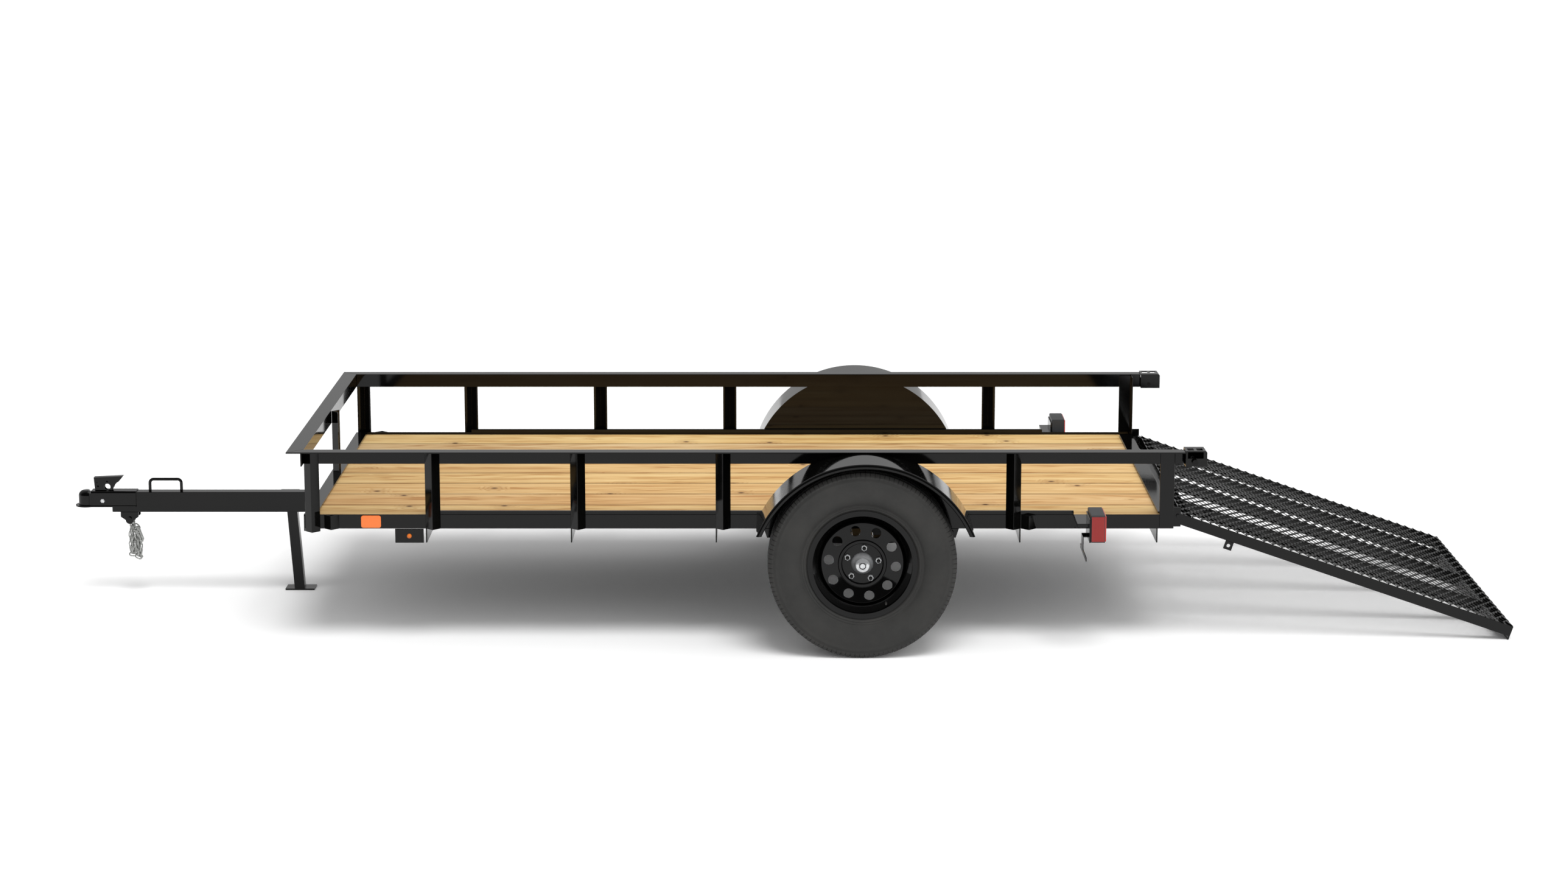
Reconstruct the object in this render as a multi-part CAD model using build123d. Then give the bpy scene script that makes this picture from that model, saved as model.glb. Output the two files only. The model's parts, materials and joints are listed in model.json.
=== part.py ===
"""Single-axle utility trailer with a plank deck, low side rails and a mesh loading ramp.

Frame: +X runs rearward, +Y to the trailer's right-hand side, +Z up, in millimetres.
The origin is on the ground under the centre of the overall box. The trailer stands
level on its two tyres and its parking leg, with the ramp lowered to the ground.
"""
import math
import os

from build123d import *

# ---------------------------------------------------------------- driving dimensions
# bed
BED_LENGTH = 3063.6          # outside of the frame, front face to rear face
BED_WIDTH = 1534.0           # outside of the side rails
DECK_UNDERSIDE_HEIGHT = 416.0  # underside of the side rails above the ground
COUPLER_REACH = 967.0        # coupler nose ahead of the frame's front face

# rolled sections
ANGLE_LEG = 50.8             # 2 in angle: side rails, rear member, crossmembers, top rails
ANGLE_WALL = 4.8
POST_LEG = 38.1              # 1.5 in angle set ridge outward: posts and tie-down pockets
POST_WALL = 3.6
FIRST_POST = 451.4           # first side post behind the frame's front face
POST_TO_AXLE = 487.6         # post before the fender, ahead of the axle
FENDER_BAY = 1023.0          # between the posts before and behind the fender
FRONT_POCKET = 93.7          # front tie-down pocket behind the frame's front face
POCKET_GAP = 0.3             # rear pocket to the post in front of it
RAIL_TOP_HEIGHT = 283.8      # top of the upper rail above the side rail's underside
TOP_FLANGE_REACH = 50.8      # upper rail's flange beyond the side plane
TOP_RAIL_TAIL = 32.0         # upper side rails behind the frame's rear face

# deck
BOARD_COUNT = 8
BOARD_GAP = 5.6              # between planks and beside the outer ones: dressed 2 x 8 planks
BOARD_THICKNESS = 38.1
BOARD_END_GAP = 4.0          # plank end to the member that traps it
FRONT_COVER = 38.0           # front member's flange over the plank ends
FRONT_DROP = 10.0            # front member's web below the side rails
FRONT_CORNER_RADIUS = 6.0

# running gear
AXLE_POSITION = 1962.0       # axle centre behind the frame's front face
TYRE_RADIUS = 331.0
TYRE_WIDTH = 205.0
TYRE_OFFSET = 130.0          # tyre's centre plane outside the side plane
RIM_BEAD_RADIUS = 178.0
RIM_FLANGE_RADIUS = 192.0
RIM_WIDTH = 150.0
RIM_WALL = 4.0
RIM_WELL_RADIUS = 158.0
DISC_RADIUS = 154.5
DISC_FACE = 46.0             # disc's outer face outside the tyre's centre plane
HUB_RING_RADIUS = 85.5
HUB_RING_HEIGHT = 9.0
HUB_SEAT_RADIUS = 70.0
HUB_BORE_RADIUS = 39.5
VENT_COUNT = 10
VENT_RADIUS = 17.75
VENT_CIRCLE = 117.5
BOLT_COUNT = 5
BOLT_CIRCLE = 57.15
BOLT_TURN = 5.9              # first stud clockwise from the top, seen from outside
CAP_RADIUS = 27.0
CAP_REACH = 45.0
AXLE_TUBE = 60.0             # square axle tube
SPINDLE_RADIUS = 17.0
SPINDLE_END_GAP = 6.0        # spindle's tip inside the disc's outer face
HUB_LENGTH = 40.0            # axle tube's end inside the tyre's centre plane
HUB_END_GAP = 3.0
HUB_CLEARANCE = 0.4
HUB_BARREL_RADIUS = 38.0
HUB_FLANGE = 12.0
STUD_RADIUS = 6.0
STUD_CLEARANCE = 0.5
STUD_REACH = 22.0            # stud's tip outside the disc's face
NUT_RADIUS = 10.4
NUT_HEIGHT = 15.0
BEAD_CLEARANCE = 0.3
TYRE_WALL = 11.0
SPRING_HALF_SPAN = 320.0     # axle to either spring eye
SPRING_LEAF_HALVES = (120.0, 210.0, SPRING_HALF_SPAN)  # from the axle up
SPRING_WIDTH = 44.0
SPRING_LEAF = 7.0
SPRING_SAG = 24.0            # eyes above the spring's seat
SPRING_EYE_RADIUS = 13.0
HANGER_WALL = 5.0
HANGER_HALF_TOP = 24.0
HANGER_HALF_FOOT = 13.0
HANGER_SIDE_GAP = 1.0
U_BOLT_RADIUS = 5.5
U_BOLT_GAP = 0.5
CLAMP_PLATE = 8.0
CLAMP_LENGTH = 100.0
CLAMP_WIDTH = 86.0
EYE_BOLT_RADIUS = 7.0

# fenders
FENDER_RADIUS = 410.0
FENDER_CENTRE_OFFSET = 9.5   # fender's centre behind the axle
FENDER_WIDTH = 246.0         # outside the side plane
FENDER_WALL = 2.5
FENDER_ROLL = 9.0            # radius of the rolled outer edge
FENDER_END_HEIGHT = 24.0     # fender's ends above the side rail's underside

# tongue and coupler
TONGUE_WIDTH = 50.8
TONGUE_HEIGHT = 76.2
TONGUE_WALL = 4.8
TONGUE_DROP = 25.4           # top of the tongue below the side rail's underside
TONGUE_TAIL = 30.6           # rear end behind the third crossmember's front face
SADDLE_LENGTH = 90.0
BALL_RADIUS = 25.4           # 2 in hitch ball
BALL_CLEARANCE = 0.8
BALL_DROP = 60.0             # ball centre below the side rail's underside
COUPLER_NOSE = 140.0         # coupler's nose ahead of the tongue's front end
COUPLER_WALL = 4.0
COUPLER_LIP_DROP = 81.0      # lip's underside below the side rail's underside
COUPLER_LIP_HEIGHT = 5.0
COUPLER_LIP_RADIUS = 42.0    # round the nose
COUPLER_LIP_HALF = 36.0      # along the sides
COUPLER_ROUND = 20.0         # over the nose
COUPLER_EDGE = 8.0           # along the body's top edges
COUPLER_SLEEVE = 91.0        # over the tongue's front end
COUPLER_GROOVE = (8.0, 20.0)  # across the top, behind the ball's centre
COUPLER_GROOVE_DEPTH = 8.0
LATCH_HALF = 13.0            # half of the latch channel's width
LATCH_SHEET = 3.0
LATCH_EYES = ((80.0, 13.5, 12.0), (80.0, 33.5, 3.5), (45.0, 15.5, 3.5), (40.0, 30.5, 3.5))
HANDLE_GAP = 49.0            # handle's front leg behind the coupler's sleeve
HANDLE_SPAN = 117.5
HANDLE_HEIGHT = 50.0
HANDLE_RADIUS = 5.5
HANDLE_BEND = 14.0
CHAIN_SETBACK = 64.0         # chain bolt behind the tongue's front end
CHAIN_PLATE_LENGTH = 66.0
CHAIN_PLATE_CHEEK = 18.4     # depth of the plates' upright sides
CHAIN_PLATE_TIP = 15.0       # radius of the plates' tips
CHAIN_PLATE_DROP = 46.0
CHAIN_PLATE_WALL = 5.0
CHAIN_BOLT_DROP = 24.8
CHAIN_BOLT_RADIUS = 7.0
CHAIN_BOLT_REACH = 9.0
CHAIN_CLEARANCE = 0.3        # chain's top ring round the bolt
CHAIN_OFFSET = 10.0          # either chain from the centreline
CHAIN_WIRE = 5.0
CHAIN_LINK_LENGTH = 29.0
CHAIN_LINK_WIDTH = 16.5
CHAIN_LINK_CORNER = 4.5
CHAIN_BITE = 0.4             # links pressed into each other where they hang
CHAIN_LINKS = 8              # in each hanging strand
HOOK_LENGTH = 64.0
HOOK_WIDTH = 17.0
HOOK_TILT = 24.0
HOOK_PLACE = (15.0, -38.0)   # hook's top behind and above the bolt

# ramp
RAMP_SIDE_GAP = 43.5         # ramp's side inside the bed's side plane
RAMP_LENGTH = 1260.0
RAMP_BAR_LEG = 38.1
RAMP_BAR_WALL = 4.8
RAMP_END_LEG = 50.8
RAMP_START = 14.0            # hinge axis to the ramp's front edge
RAMP_TOP = 8.0               # ramp's frame top above the hinge axis
RAMP_MESH_WALL = 4.0
MESH_ROWS = 12               # diamonds along the ramp and across it
MESH_STRAND = 9.0            # half of the metal between two diamonds' corners
HINGE_HEIGHT = 40.0          # hinge axis above the side rail's underside
HINGE_SETBACK = 17.5         # hinge axis behind the frame's rear face
HINGE_PIN_RADIUS = 6.0
HINGE_CLEARANCE = 0.3
HINGE_PLATE = 6.0
HINGE_SIDE_GAP = 5.0
HINGE_LUG_RADIUS = 11.0
HINGE_TALL_LUG = 70.0        # outer lug's top above the side rail's underside
HINGE_PIN_END = 5.0
KNUCKLE_RADIUS = 10.0
LATCH_DISTANCE = 210.0       # hinge axis to the latch tab's hole, along the ramp
LATCH_DEPTH = 46.0           # latch hole below the hinge axis, square to the ramp
LATCH_HOLE_RADIUS = 6.5
LATCH_BOX_LENGTH = 75.0
LATCH_BOX_INSET = 30.0       # box's inner side inside the side plane
LATCH_BOX_BELOW = 17.0
LATCH_BOX_RISE = 5.0
LATCH_BOX_WALL = 4.0
LATCH_BOX_BEVEL = 5.0
LATCH_WINDOW = (7.0, 62.0)   # side window's ends behind the box's front
LATCH_WINDOW_RISE = 12.0     # side window's sill above the pin
LATCH_SLOTS = ((8.0, 30.0), (40.0, 62.0))  # slots in the box's top, behind its front
LATCH_SLOT_OUT = (2.0, 38.0)
LATCH_PIN_RADIUS = 6.0
LATCH_PIN_SETBACK = 1.0
LATCH_PULL_REACH = 18.0
LATCH_PULL_RADIUS = 10.0
LATCH_PULL_LENGTH = 6.0
TAB_HALF = 15.0
TAB_WALL = 6.0

# parking leg
LEG_TUBE = 38.0
LEG_WALL = 3.0
LEG_SETBACK = 165.0          # pivot ahead of the frame's front face
LEG_RAKE = 4.0               # degrees the foot stands behind the pivot, against its stop
LEG_GAP = 6.0                # leg to the tongue's side
LEG_PIN_RADIUS = 8.0
LEG_PIN_CLEARANCE = 0.3
LEG_PIN_END = 8.0
LEG_SIDE_GAP = 0.8
LEG_MOUNT_LENGTH = 70.0
LEG_TOP = 24.0               # leg's top above its pivot
FOOT_LENGTH = 110.0
FOOT_WIDTH = 72.0
FOOT_PLATE = 6.0

# lamps and small fittings
CHANNEL_SIZE = 12.7          # wiring channel on the side rail
REFLECTOR_PLACE = 232.4
REFLECTOR_LENGTH = 70.0
REFLECTOR_HEIGHT = 44.0
REFLECTOR_THICKNESS = 5.0
REFLECTOR_ROUND = 5.0
SIDE_LAMP_PLACE = 367.0
SIDE_LAMP_RADIUS = 9.5
SIDE_LAMP_REACH = 14.0
LAMP_PLATE_LENGTH = 101.0
LAMP_PLATE_DROP = 50.8
LAMP_PLATE_WALL = 3.0
LAMP_ARM_GAP = 132.1         # rear pocket to the tail lamp's arm
LAMP_LENGTH = 53.5
LAMP_HEIGHT = 97.0
LAMP_WIDTH = 145.0
LAMP_OFFSET = 55.0           # lamp's inner side outside the side plane
LAMP_DROP = 7.0              # lamp's underside below the side rail's
LAMP_ROUND = 6.0
LAMP_ARM_LENGTH = 43.6
LAMP_ARM_REACH = 153.0
LAMP_ARM_DEPTH = 12.7
LAMP_BACK_HEIGHT = 83.0
LAMP_BACK_WALL = 5.0
LICENCE_SETBACK = 20.0       # strip's front face ahead of the tail lamp
LICENCE_OFFSET = 15.0        # strip's inner end outside the side plane
LICENCE_LENGTH = 225.0
LICENCE_HEIGHT = 14.0
LICENCE_DROP = 50.0          # strip's top below the side rail's underside
LICENCE_WALL = 3.0
LICENCE_HANGER = (50.0, 110.0)  # hanger's sides outside the side plane
LICENCE_HOLE_SPACING = 177.8
LICENCE_HOLE_RADIUS = 3.6

# ---------------------------------------------------------------- derived places
HALF_WIDTH = BED_WIDTH / 2
Z0 = DECK_UNDERSIDE_HEIGHT
DECK_SEAT = Z0 + ANGLE_WALL
DECK_TOP = DECK_SEAT + BOARD_THICKNESS
RAIL_EDGE = Z0 + ANGLE_LEG
TOP_Z = Z0 + RAIL_TOP_HEIGHT
FLANGE_UNDERSIDE = TOP_Z - ANGLE_WALL
TOP_RAIL_LOW = TOP_Z - ANGLE_LEG

HINGE_Z = Z0 + HINGE_HEIGHT
RAMP_TIP_S = RAMP_START + RAMP_LENGTH
RAMP_TIP_LOW = RAMP_TOP - RAMP_END_LEG
RAMP_SLOPE = math.degrees(
    math.asin(HINGE_Z / math.hypot(RAMP_TIP_S, RAMP_TIP_LOW)) - math.atan2(-RAMP_TIP_LOW, RAMP_TIP_S)
)
RAMP_REACH = (
    BED_LENGTH
    + HINGE_SETBACK
    + RAMP_TIP_S * math.cos(math.radians(RAMP_SLOPE))
    + (RAMP_TOP + RAMP_MESH_WALL) * math.sin(math.radians(RAMP_SLOPE))
)
FRONT_X = (COUPLER_REACH - RAMP_REACH) / 2   # centres the overall box on the origin
TOP_FRONT_X = FRONT_X - ANGLE_WALL - TOP_FLANGE_REACH
REAR_X = FRONT_X + BED_LENGTH
AXLE_X = FRONT_X + AXLE_POSITION
HINGE_X = REAR_X + HINGE_SETBACK
SIDES = {"left": -1, "right": 1}

# side posts and pockets, by the distance of their centre behind the frame's front face
THIRD_POST = AXLE_POSITION - POST_TO_AXLE
REAR_POST = THIRD_POST + FENDER_BAY
POST_PLACES = (FIRST_POST, (FIRST_POST + THIRD_POST) / 2, THIRD_POST, REAR_POST)
POST_RIDGE = POST_LEG / math.sqrt(2)
REAR_POCKET = REAR_POST + 2 * POST_RIDGE + POCKET_GAP
POCKET_PLACES = (FRONT_POCKET, REAR_POCKET)
LAMP_ARM_X = FRONT_X + REAR_POCKET + POST_RIDGE + LAMP_ARM_GAP
LAMP_X = LAMP_ARM_X + LAMP_ARM_LENGTH


def at_front(distance):
    """X of a place that lies this far behind the frame's front face."""
    return FRONT_X + distance


# ---------------------------------------------------------------- helpers
def block(x, y, z):
    """Box between pairs of limits along X, Y and Z."""
    size = (abs(x[1] - x[0]), abs(y[1] - y[0]), abs(z[1] - z[0]))
    centre = ((x[0] + x[1]) / 2, (y[0] + y[1]) / 2, (z[0] + z[1]) / 2)
    return Pos(*centre) * Box(*size)


def side_block(side, x, out, z):
    """Box whose Y limits are counted outward from a side plane of the bed."""
    return block(x, (side * (HALF_WIDTH + out[0]), side * (HALF_WIDTH + out[1])), z)


def prism(points, travel):
    """Polygon of 3-D points pushed along a vector."""
    face = make_face(Polyline(*points, close=True))
    return extrude(face, amount=Vector(*travel).length, dir=travel)


def prism_y(outline, y):
    """Outline of (x, z) points between two Y values."""
    return prism([(px, y[0], pz) for px, pz in outline], (0, y[1] - y[0], 0))


def prism_x(outline, x):
    """Outline of (y, z) points between two X values."""
    return prism([(x[0], py, pz) for py, pz in outline], (x[1] - x[0], 0, 0))


def prism_z(outline, z):
    """Outline of (x, y) points between two Z values."""
    return prism([(px, py, z[0]) for px, py in outline], (0, 0, z[1] - z[0]))


def rod_y(x, z, radius, y):
    """Round bar along Y between two Y values."""
    centre = (y[0] + y[1]) / 2
    return Pos(x, centre, z) * Rot(90, 0, 0) * Cylinder(radius, abs(y[1] - y[0]))


def rod_x(y, z, radius, x):
    """Round bar along X between two X values."""
    centre = (x[0] + x[1]) / 2
    return Pos(centre, y, z) * Rot(0, 90, 0) * Cylinder(radius, abs(x[1] - x[0]))


def rod_z(x, y, radius, z):
    """Round bar along Z between two Z values."""
    return Pos(x, y, (z[0] + z[1]) / 2) * Cylinder(radius, abs(z[1] - z[0]))


def fuse(pieces):
    """One solid from pieces that touch or overlap."""
    whole = pieces[0]
    for piece in pieces[1:]:
        whole = whole + piece
    return whole


def save(node, *solids):
    """Write one node; several solids in it lie apart from each other."""
    os.makedirs("parts", exist_ok=True)
    flat = [solid for shape in solids for solid in shape.solids()]
    shape = flat[0] if len(flat) == 1 else Compound(children=flat)
    export_step(shape, f"parts/{node}.step")


# ---------------------------------------------------------------- bed frame
def front_corner_post(side):
    """The side posts' angle at a front corner, down to the front member's foot."""
    return prism_z(v_outline(FRONT_X + POST_RIDGE, side), (Z0 - FRONT_DROP, FLANGE_UNDERSIDE))


def rear_corner_post(side):
    """Angle upright at a rear corner, heel outward."""
    z = (Z0, FLANGE_UNDERSIDE)
    along = side_block(side, (REAR_X - ANGLE_LEG, REAR_X), (0, -ANGLE_WALL), z)
    across = side_block(side, (REAR_X - ANGLE_WALL, REAR_X), (0, -ANGLE_LEG), z)
    return along + across


def side_rail(side):
    """Lower side rail: upright leg outside, flat leg under the planks."""
    x = (FRONT_X, REAR_X - ANGLE_LEG)
    upright = side_block(side, x, (0, -ANGLE_WALL), (Z0, RAIL_EDGE))
    shelf_x = (FRONT_X, REAR_X - ANGLE_WALL)
    shelf = side_block(side, shelf_x, (-ANGLE_WALL, -ANGLE_LEG), (Z0, DECK_SEAT))
    return upright + shelf


def front_member():
    """Front channel that traps the plank ends, with rounded outer corners."""
    web_x = (FRONT_X - ANGLE_WALL, FRONT_X)
    web = block(web_x, (-HALF_WIDTH, HALF_WIDTH), (Z0 - FRONT_DROP, RAIL_EDGE))
    corners = web.edges().filter_by(Axis.X)
    web = fillet(corners, FRONT_CORNER_RADIUS)
    x = (FRONT_X, FRONT_X + FRONT_COVER)
    inner = HALF_WIDTH - ANGLE_WALL
    cover = block(x, (-inner, inner), (RAIL_EDGE - ANGLE_WALL, RAIL_EDGE))
    between = HALF_WIDTH - ANGLE_LEG
    shelf = block(x, (-between, between), (Z0, DECK_SEAT))
    return web + cover + shelf


def rear_member():
    """Rear channel between the corner posts: cover flange, web and shelf."""
    inner = HALF_WIDTH - ANGLE_LEG
    x = (REAR_X - ANGLE_LEG, REAR_X)
    web = block((REAR_X - ANGLE_WALL, REAR_X), (-inner, inner), (Z0, RAIL_EDGE))
    cover = block(x, (-inner, inner), (RAIL_EDGE - ANGLE_WALL, RAIL_EDGE))
    shelf = block(x, (-inner, inner), (Z0, DECK_SEAT))
    return web + cover + shelf


# crossmembers: (upright leg's front face behind the bed's front, flat leg's direction)
CROSSMEMBERS = (
    (POST_PLACES[0] - POST_RIDGE, 1),
    (POST_PLACES[1] - POST_RIDGE, 1),
    (POST_PLACES[2] - POST_RIDGE, 1),
    (POST_PLACES[3] + POST_RIDGE, -1),
    (BED_LENGTH - ANGLE_LEG - ANGLE_WALL, -1),
)
TONGUE_BACK = THIRD_POST - POST_RIDGE + TONGUE_TAIL


def crossmember(place, direction):
    """Angle under the planks, its flat leg coped between the side rails' flat legs."""
    x = at_front(place)
    inner = HALF_WIDTH - ANGLE_LEG
    hang = (Z0 - ANGLE_LEG, Z0)
    upright = block((x, x + direction * ANGLE_WALL), (-HALF_WIDTH, HALF_WIDTH), hang)
    low = Z0 - ANGLE_LEG
    notch = block(
        (x - ANGLE_WALL, x + 2 * ANGLE_WALL * direction),
        (-TONGUE_WIDTH / 2, TONGUE_WIDTH / 2),
        (low - 1, Z0 - TONGUE_DROP),
    )
    if x < at_front(TONGUE_BACK):
        upright = upright - notch
    flat = block((x, x + direction * ANGLE_LEG), (-inner, inner), (Z0, DECK_SEAT))
    return upright + flat


def deck_boards():
    """Planks laid lengthwise, evenly gapped between the side rails."""
    clear = BED_WIDTH - 2 * ANGLE_WALL
    width = (clear - (BOARD_COUNT + 1) * BOARD_GAP) / BOARD_COUNT
    x = (FRONT_X + ANGLE_WALL + BOARD_END_GAP, REAR_X - ANGLE_WALL - BOARD_END_GAP)
    boards = []
    for index in range(BOARD_COUNT):
        low = -clear / 2 + BOARD_GAP + index * (width + BOARD_GAP)
        board = block(x, (low, low + width), (DECK_SEAT, DECK_TOP))
        boards.append(board)
    return boards


def v_outline(centre, side):
    """Plan outline of an angle set ridge outward on a side plane."""
    inner = POST_RIDGE - POST_WALL * math.sqrt(2)
    plane = side * HALF_WIDTH
    return [
        (centre - POST_RIDGE, plane),
        (centre, plane + side * POST_RIDGE),
        (centre + POST_RIDGE, plane),
        (centre + inner, plane),
        (centre, plane + side * inner),
        (centre - inner, plane),
    ]


def side_posts(side):
    """Ridge-outward posts from the side rail's underside to the upper rail's flange."""
    return [
        prism_z(v_outline(at_front(place), side), (Z0, FLANGE_UNDERSIDE)) for place in POST_PLACES
    ]


def front_post():
    """The same post in the middle of the front, standing on the front member."""
    inner = POST_RIDGE - POST_WALL * math.sqrt(2)
    plane = FRONT_X + POST_RIDGE
    outline = [
        (plane, -POST_RIDGE),
        (plane - POST_RIDGE, 0),
        (plane, POST_RIDGE),
        (plane, inner),
        (plane - inner, 0),
        (plane, -inner),
    ]
    return prism_z(outline, (RAIL_EDGE, FLANGE_UNDERSIDE))


def tie_down_pocket(place, side):
    """Short ridge-outward angle that takes a stake or strap hook."""
    return prism_z(v_outline(at_front(place), side), (Z0, RAIL_EDGE))


def top_side_rail(side):
    """Upper side rail: flange on top turned outward, mitred at the front corner."""
    tail = REAR_X + TOP_RAIL_TAIL
    leg_x = (FRONT_X, tail)
    leg_z = (TOP_RAIL_LOW, FLANGE_UNDERSIDE)
    notch = side_block(side, (REAR_X - ANGLE_LEG, REAR_X), (1, -ANGLE_WALL - 1), leg_z)
    leg = side_block(side, leg_x, (0, -ANGLE_WALL), leg_z) - notch
    inner = side * (HALF_WIDTH - ANGLE_WALL)
    outer = side * (HALF_WIDTH + TOP_FLANGE_REACH)
    flange = prism_z(
        [
            (FRONT_X, inner),
            (TOP_FRONT_X, outer),
            (tail, outer),
            (tail, inner),
        ],
        (FLANGE_UNDERSIDE, TOP_Z),
    )
    return flange + leg


def top_front_rail():
    """Upper front rail: leg on the posts' front, flange between the mitres."""
    near = HALF_WIDTH - ANGLE_WALL
    far = HALF_WIDTH + TOP_FLANGE_REACH
    leg = block((FRONT_X - ANGLE_WALL, FRONT_X), (-far, far), (TOP_RAIL_LOW, FLANGE_UNDERSIDE))
    flange = prism_z(
        [
            (FRONT_X, -near),
            (TOP_FRONT_X, -far),
            (TOP_FRONT_X, far),
            (FRONT_X, near),
        ],
        (FLANGE_UNDERSIDE, TOP_Z),
    )
    return flange + leg


def wiring_channel(side):
    """Square bar along the side rail's top edge that carries the lamp wiring."""
    x = (at_front(FIRST_POST), min(LAMP_ARM_X, REAR_X - ANGLE_LEG))
    return side_block(side, x, (-CHANNEL_SIZE, 0), (RAIL_EDGE, RAIL_EDGE + CHANNEL_SIZE))


# ---------------------------------------------------------------- fenders
def fender(side):
    """Round fender: arched sheet, rolled outer edge and flat inner panel in one pressing."""
    centre_x = AXLE_X + FENDER_CENTRE_OFFSET
    centre_z = FLANGE_UNDERSIDE - FENDER_RADIUS
    floor = Z0 + FENDER_END_HEIGHT
    plane = side * HALF_WIDTH
    outer = side * (HALF_WIDTH + FENDER_WIDTH)

    def disc(radius, y):
        return rod_y(centre_x, centre_z, radius, y)

    roll_y = outer - side * FENDER_ROLL
    arch = disc(FENDER_RADIUS, (plane, roll_y)) - disc(FENDER_RADIUS - FENDER_WALL, (plane, roll_y))
    panel = disc(FENDER_RADIUS, (plane, plane + side * FENDER_WALL))
    section = Pos(FENDER_RADIUS - FENDER_ROLL, roll_y, 0) * Circle(FENDER_ROLL)
    roll = Pos(centre_x, 0, centre_z) * revolve(section, Axis.Y)
    keep = block(
        (centre_x - 2 * FENDER_RADIUS, centre_x + 2 * FENDER_RADIUS),
        (plane - side, outer + side),
        (floor, centre_z + 2 * FENDER_RADIUS),
    )
    return (arch + panel + roll) & keep


# ---------------------------------------------------------------- axle and springs
def spring_seat_z():
    """Top of the axle tube, where the spring sits."""
    return TYRE_RADIUS + AXLE_TUBE / 2


def axle_beam():
    """Square axle tube with a round spindle at each end."""
    half = HALF_WIDTH + TYRE_OFFSET - HUB_LENGTH
    tube = block(
        (AXLE_X - AXLE_TUBE / 2, AXLE_X + AXLE_TUBE / 2),
        (-half, half),
        (TYRE_RADIUS - AXLE_TUBE / 2, TYRE_RADIUS + AXLE_TUBE / 2),
    )
    tip = HALF_WIDTH + TYRE_OFFSET + DISC_FACE - SPINDLE_END_GAP
    spindle = rod_y(AXLE_X, TYRE_RADIUS, SPINDLE_RADIUS, (-tip, tip))
    return tube + spindle


def leaf_spring(side):
    """Leaf pack over the axle: eyed main leaf and two shorter leaves under it."""
    centre = side * (HALF_WIDTH - ANGLE_LEG / 2)
    y = (centre - SPRING_WIDTH / 2, centre + SPRING_WIDTH / 2)
    seat = spring_seat_z()
    leaves = []
    for index, half in enumerate(SPRING_LEAF_HALVES):
        low = seat + index * SPRING_LEAF
        end = low + SPRING_SAG * (half / SPRING_HALF_SPAN) ** 2
        under = ThreePointArc((-half, 0, end), (0, 0, low), (half, 0, end))
        high, high_end = low + SPRING_LEAF, end + SPRING_LEAF
        upper = ThreePointArc((-half, 0, high_end), (0, 0, high), (half, 0, high_end))
        tips = [Line(under @ share, upper @ share) for share in (0, 1)]
        face = make_face([under, upper, *tips])
        leaf = extrude(face, amount=SPRING_WIDTH / 2, dir=(0, 1, 0), both=True)
        leaves.append(Pos(AXLE_X, centre, 0) * leaf)
    eye_z = spring_eye_z()
    eyes = []
    for end in (-1, 1):
        x = AXLE_X + end * SPRING_HALF_SPAN
        eye = rod_y(x, eye_z, SPRING_EYE_RADIUS, y)
        eyes.append(eye)
    spring = fuse(leaves + eyes)
    for end in (-1, 1):
        x = AXLE_X + end * SPRING_HALF_SPAN
        bore = rod_y(x, eye_z, EYE_BOLT_RADIUS + HINGE_CLEARANCE, (y[0] - 1, y[1] + 1))
        spring = spring - bore
    return spring


def spring_eye_z():
    """Height of the spring eyes' axis."""
    return spring_seat_z() + 2 * SPRING_LEAF + SPRING_SAG + SPRING_LEAF / 2


def spring_hanger(side, end):
    """Folded hanger under the side rail with the bolt through the spring eye."""
    x = AXLE_X + end * SPRING_HALF_SPAN
    centre = side * (HALF_WIDTH - ANGLE_LEG / 2)
    half = SPRING_WIDTH / 2 + HANGER_SIDE_GAP
    eye_z = spring_eye_z()
    low = eye_z - SPRING_EYE_RADIUS - 6.0
    wide, narrow = HANGER_HALF_TOP, HANGER_HALF_FOOT
    outline = [(x - wide, Z0), (x + wide, Z0), (x + narrow, low), (x - narrow, low)]
    cheeks = []
    for cheek in (-1, 1):
        y = (centre + cheek * half, centre + cheek * (half + HANGER_WALL))
        cheeks.append(prism_y(outline, y))
    bolt_half = half + HANGER_WALL + 6.0
    bolt = rod_y(x, eye_z, EYE_BOLT_RADIUS, (centre - bolt_half, centre + bolt_half))
    return fuse([cheeks[0], bolt, cheeks[1]])


def axle_clamp(side):
    """Plate under the axle and the two U-bolts that tie it to the spring."""
    centre = side * (HALF_WIDTH - ANGLE_LEG / 2)
    low = TYRE_RADIUS - AXLE_TUBE / 2
    bridge_z = spring_seat_z() + len(SPRING_LEAF_HALVES) * SPRING_LEAF + U_BOLT_RADIUS + U_BOLT_GAP
    leg_x = AXLE_TUBE / 2 + U_BOLT_RADIUS + U_BOLT_GAP
    leg_y = SPRING_WIDTH / 2 + U_BOLT_RADIUS + U_BOLT_GAP
    pieces = [
        block(
            (AXLE_X - CLAMP_LENGTH / 2, AXLE_X + CLAMP_LENGTH / 2),
            (centre - CLAMP_WIDTH / 2, centre + CLAMP_WIDTH / 2),
            (low - CLAMP_PLATE, low),
        )
    ]
    foot = low - 2 * CLAMP_PLATE
    for end in (-1, 1):
        x = AXLE_X + end * leg_x
        path = FilletPolyline(
            (x, centre - leg_y, foot),
            (x, centre - leg_y, bridge_z),
            (x, centre + leg_y, bridge_z),
            (x, centre + leg_y, foot),
            radius=U_BOLT_RADIUS + U_BOLT_GAP,
        )
        section = Plane(origin=path @ 0, z_dir=path % 0) * Circle(U_BOLT_RADIUS)
        pieces.append(sweep(section, path=path))
    return fuse(pieces)


# ---------------------------------------------------------------- wheels
def ring(profile, side):
    """Turned ring: profile of (radius, outward offset) points, closed, about the wheel's axis."""
    face = make_face(Polyline(*[(radius, 0, offset) for radius, offset in profile], close=True))
    turned = revolve(face, Axis.Z)
    return place_wheel(turned, side)


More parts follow.
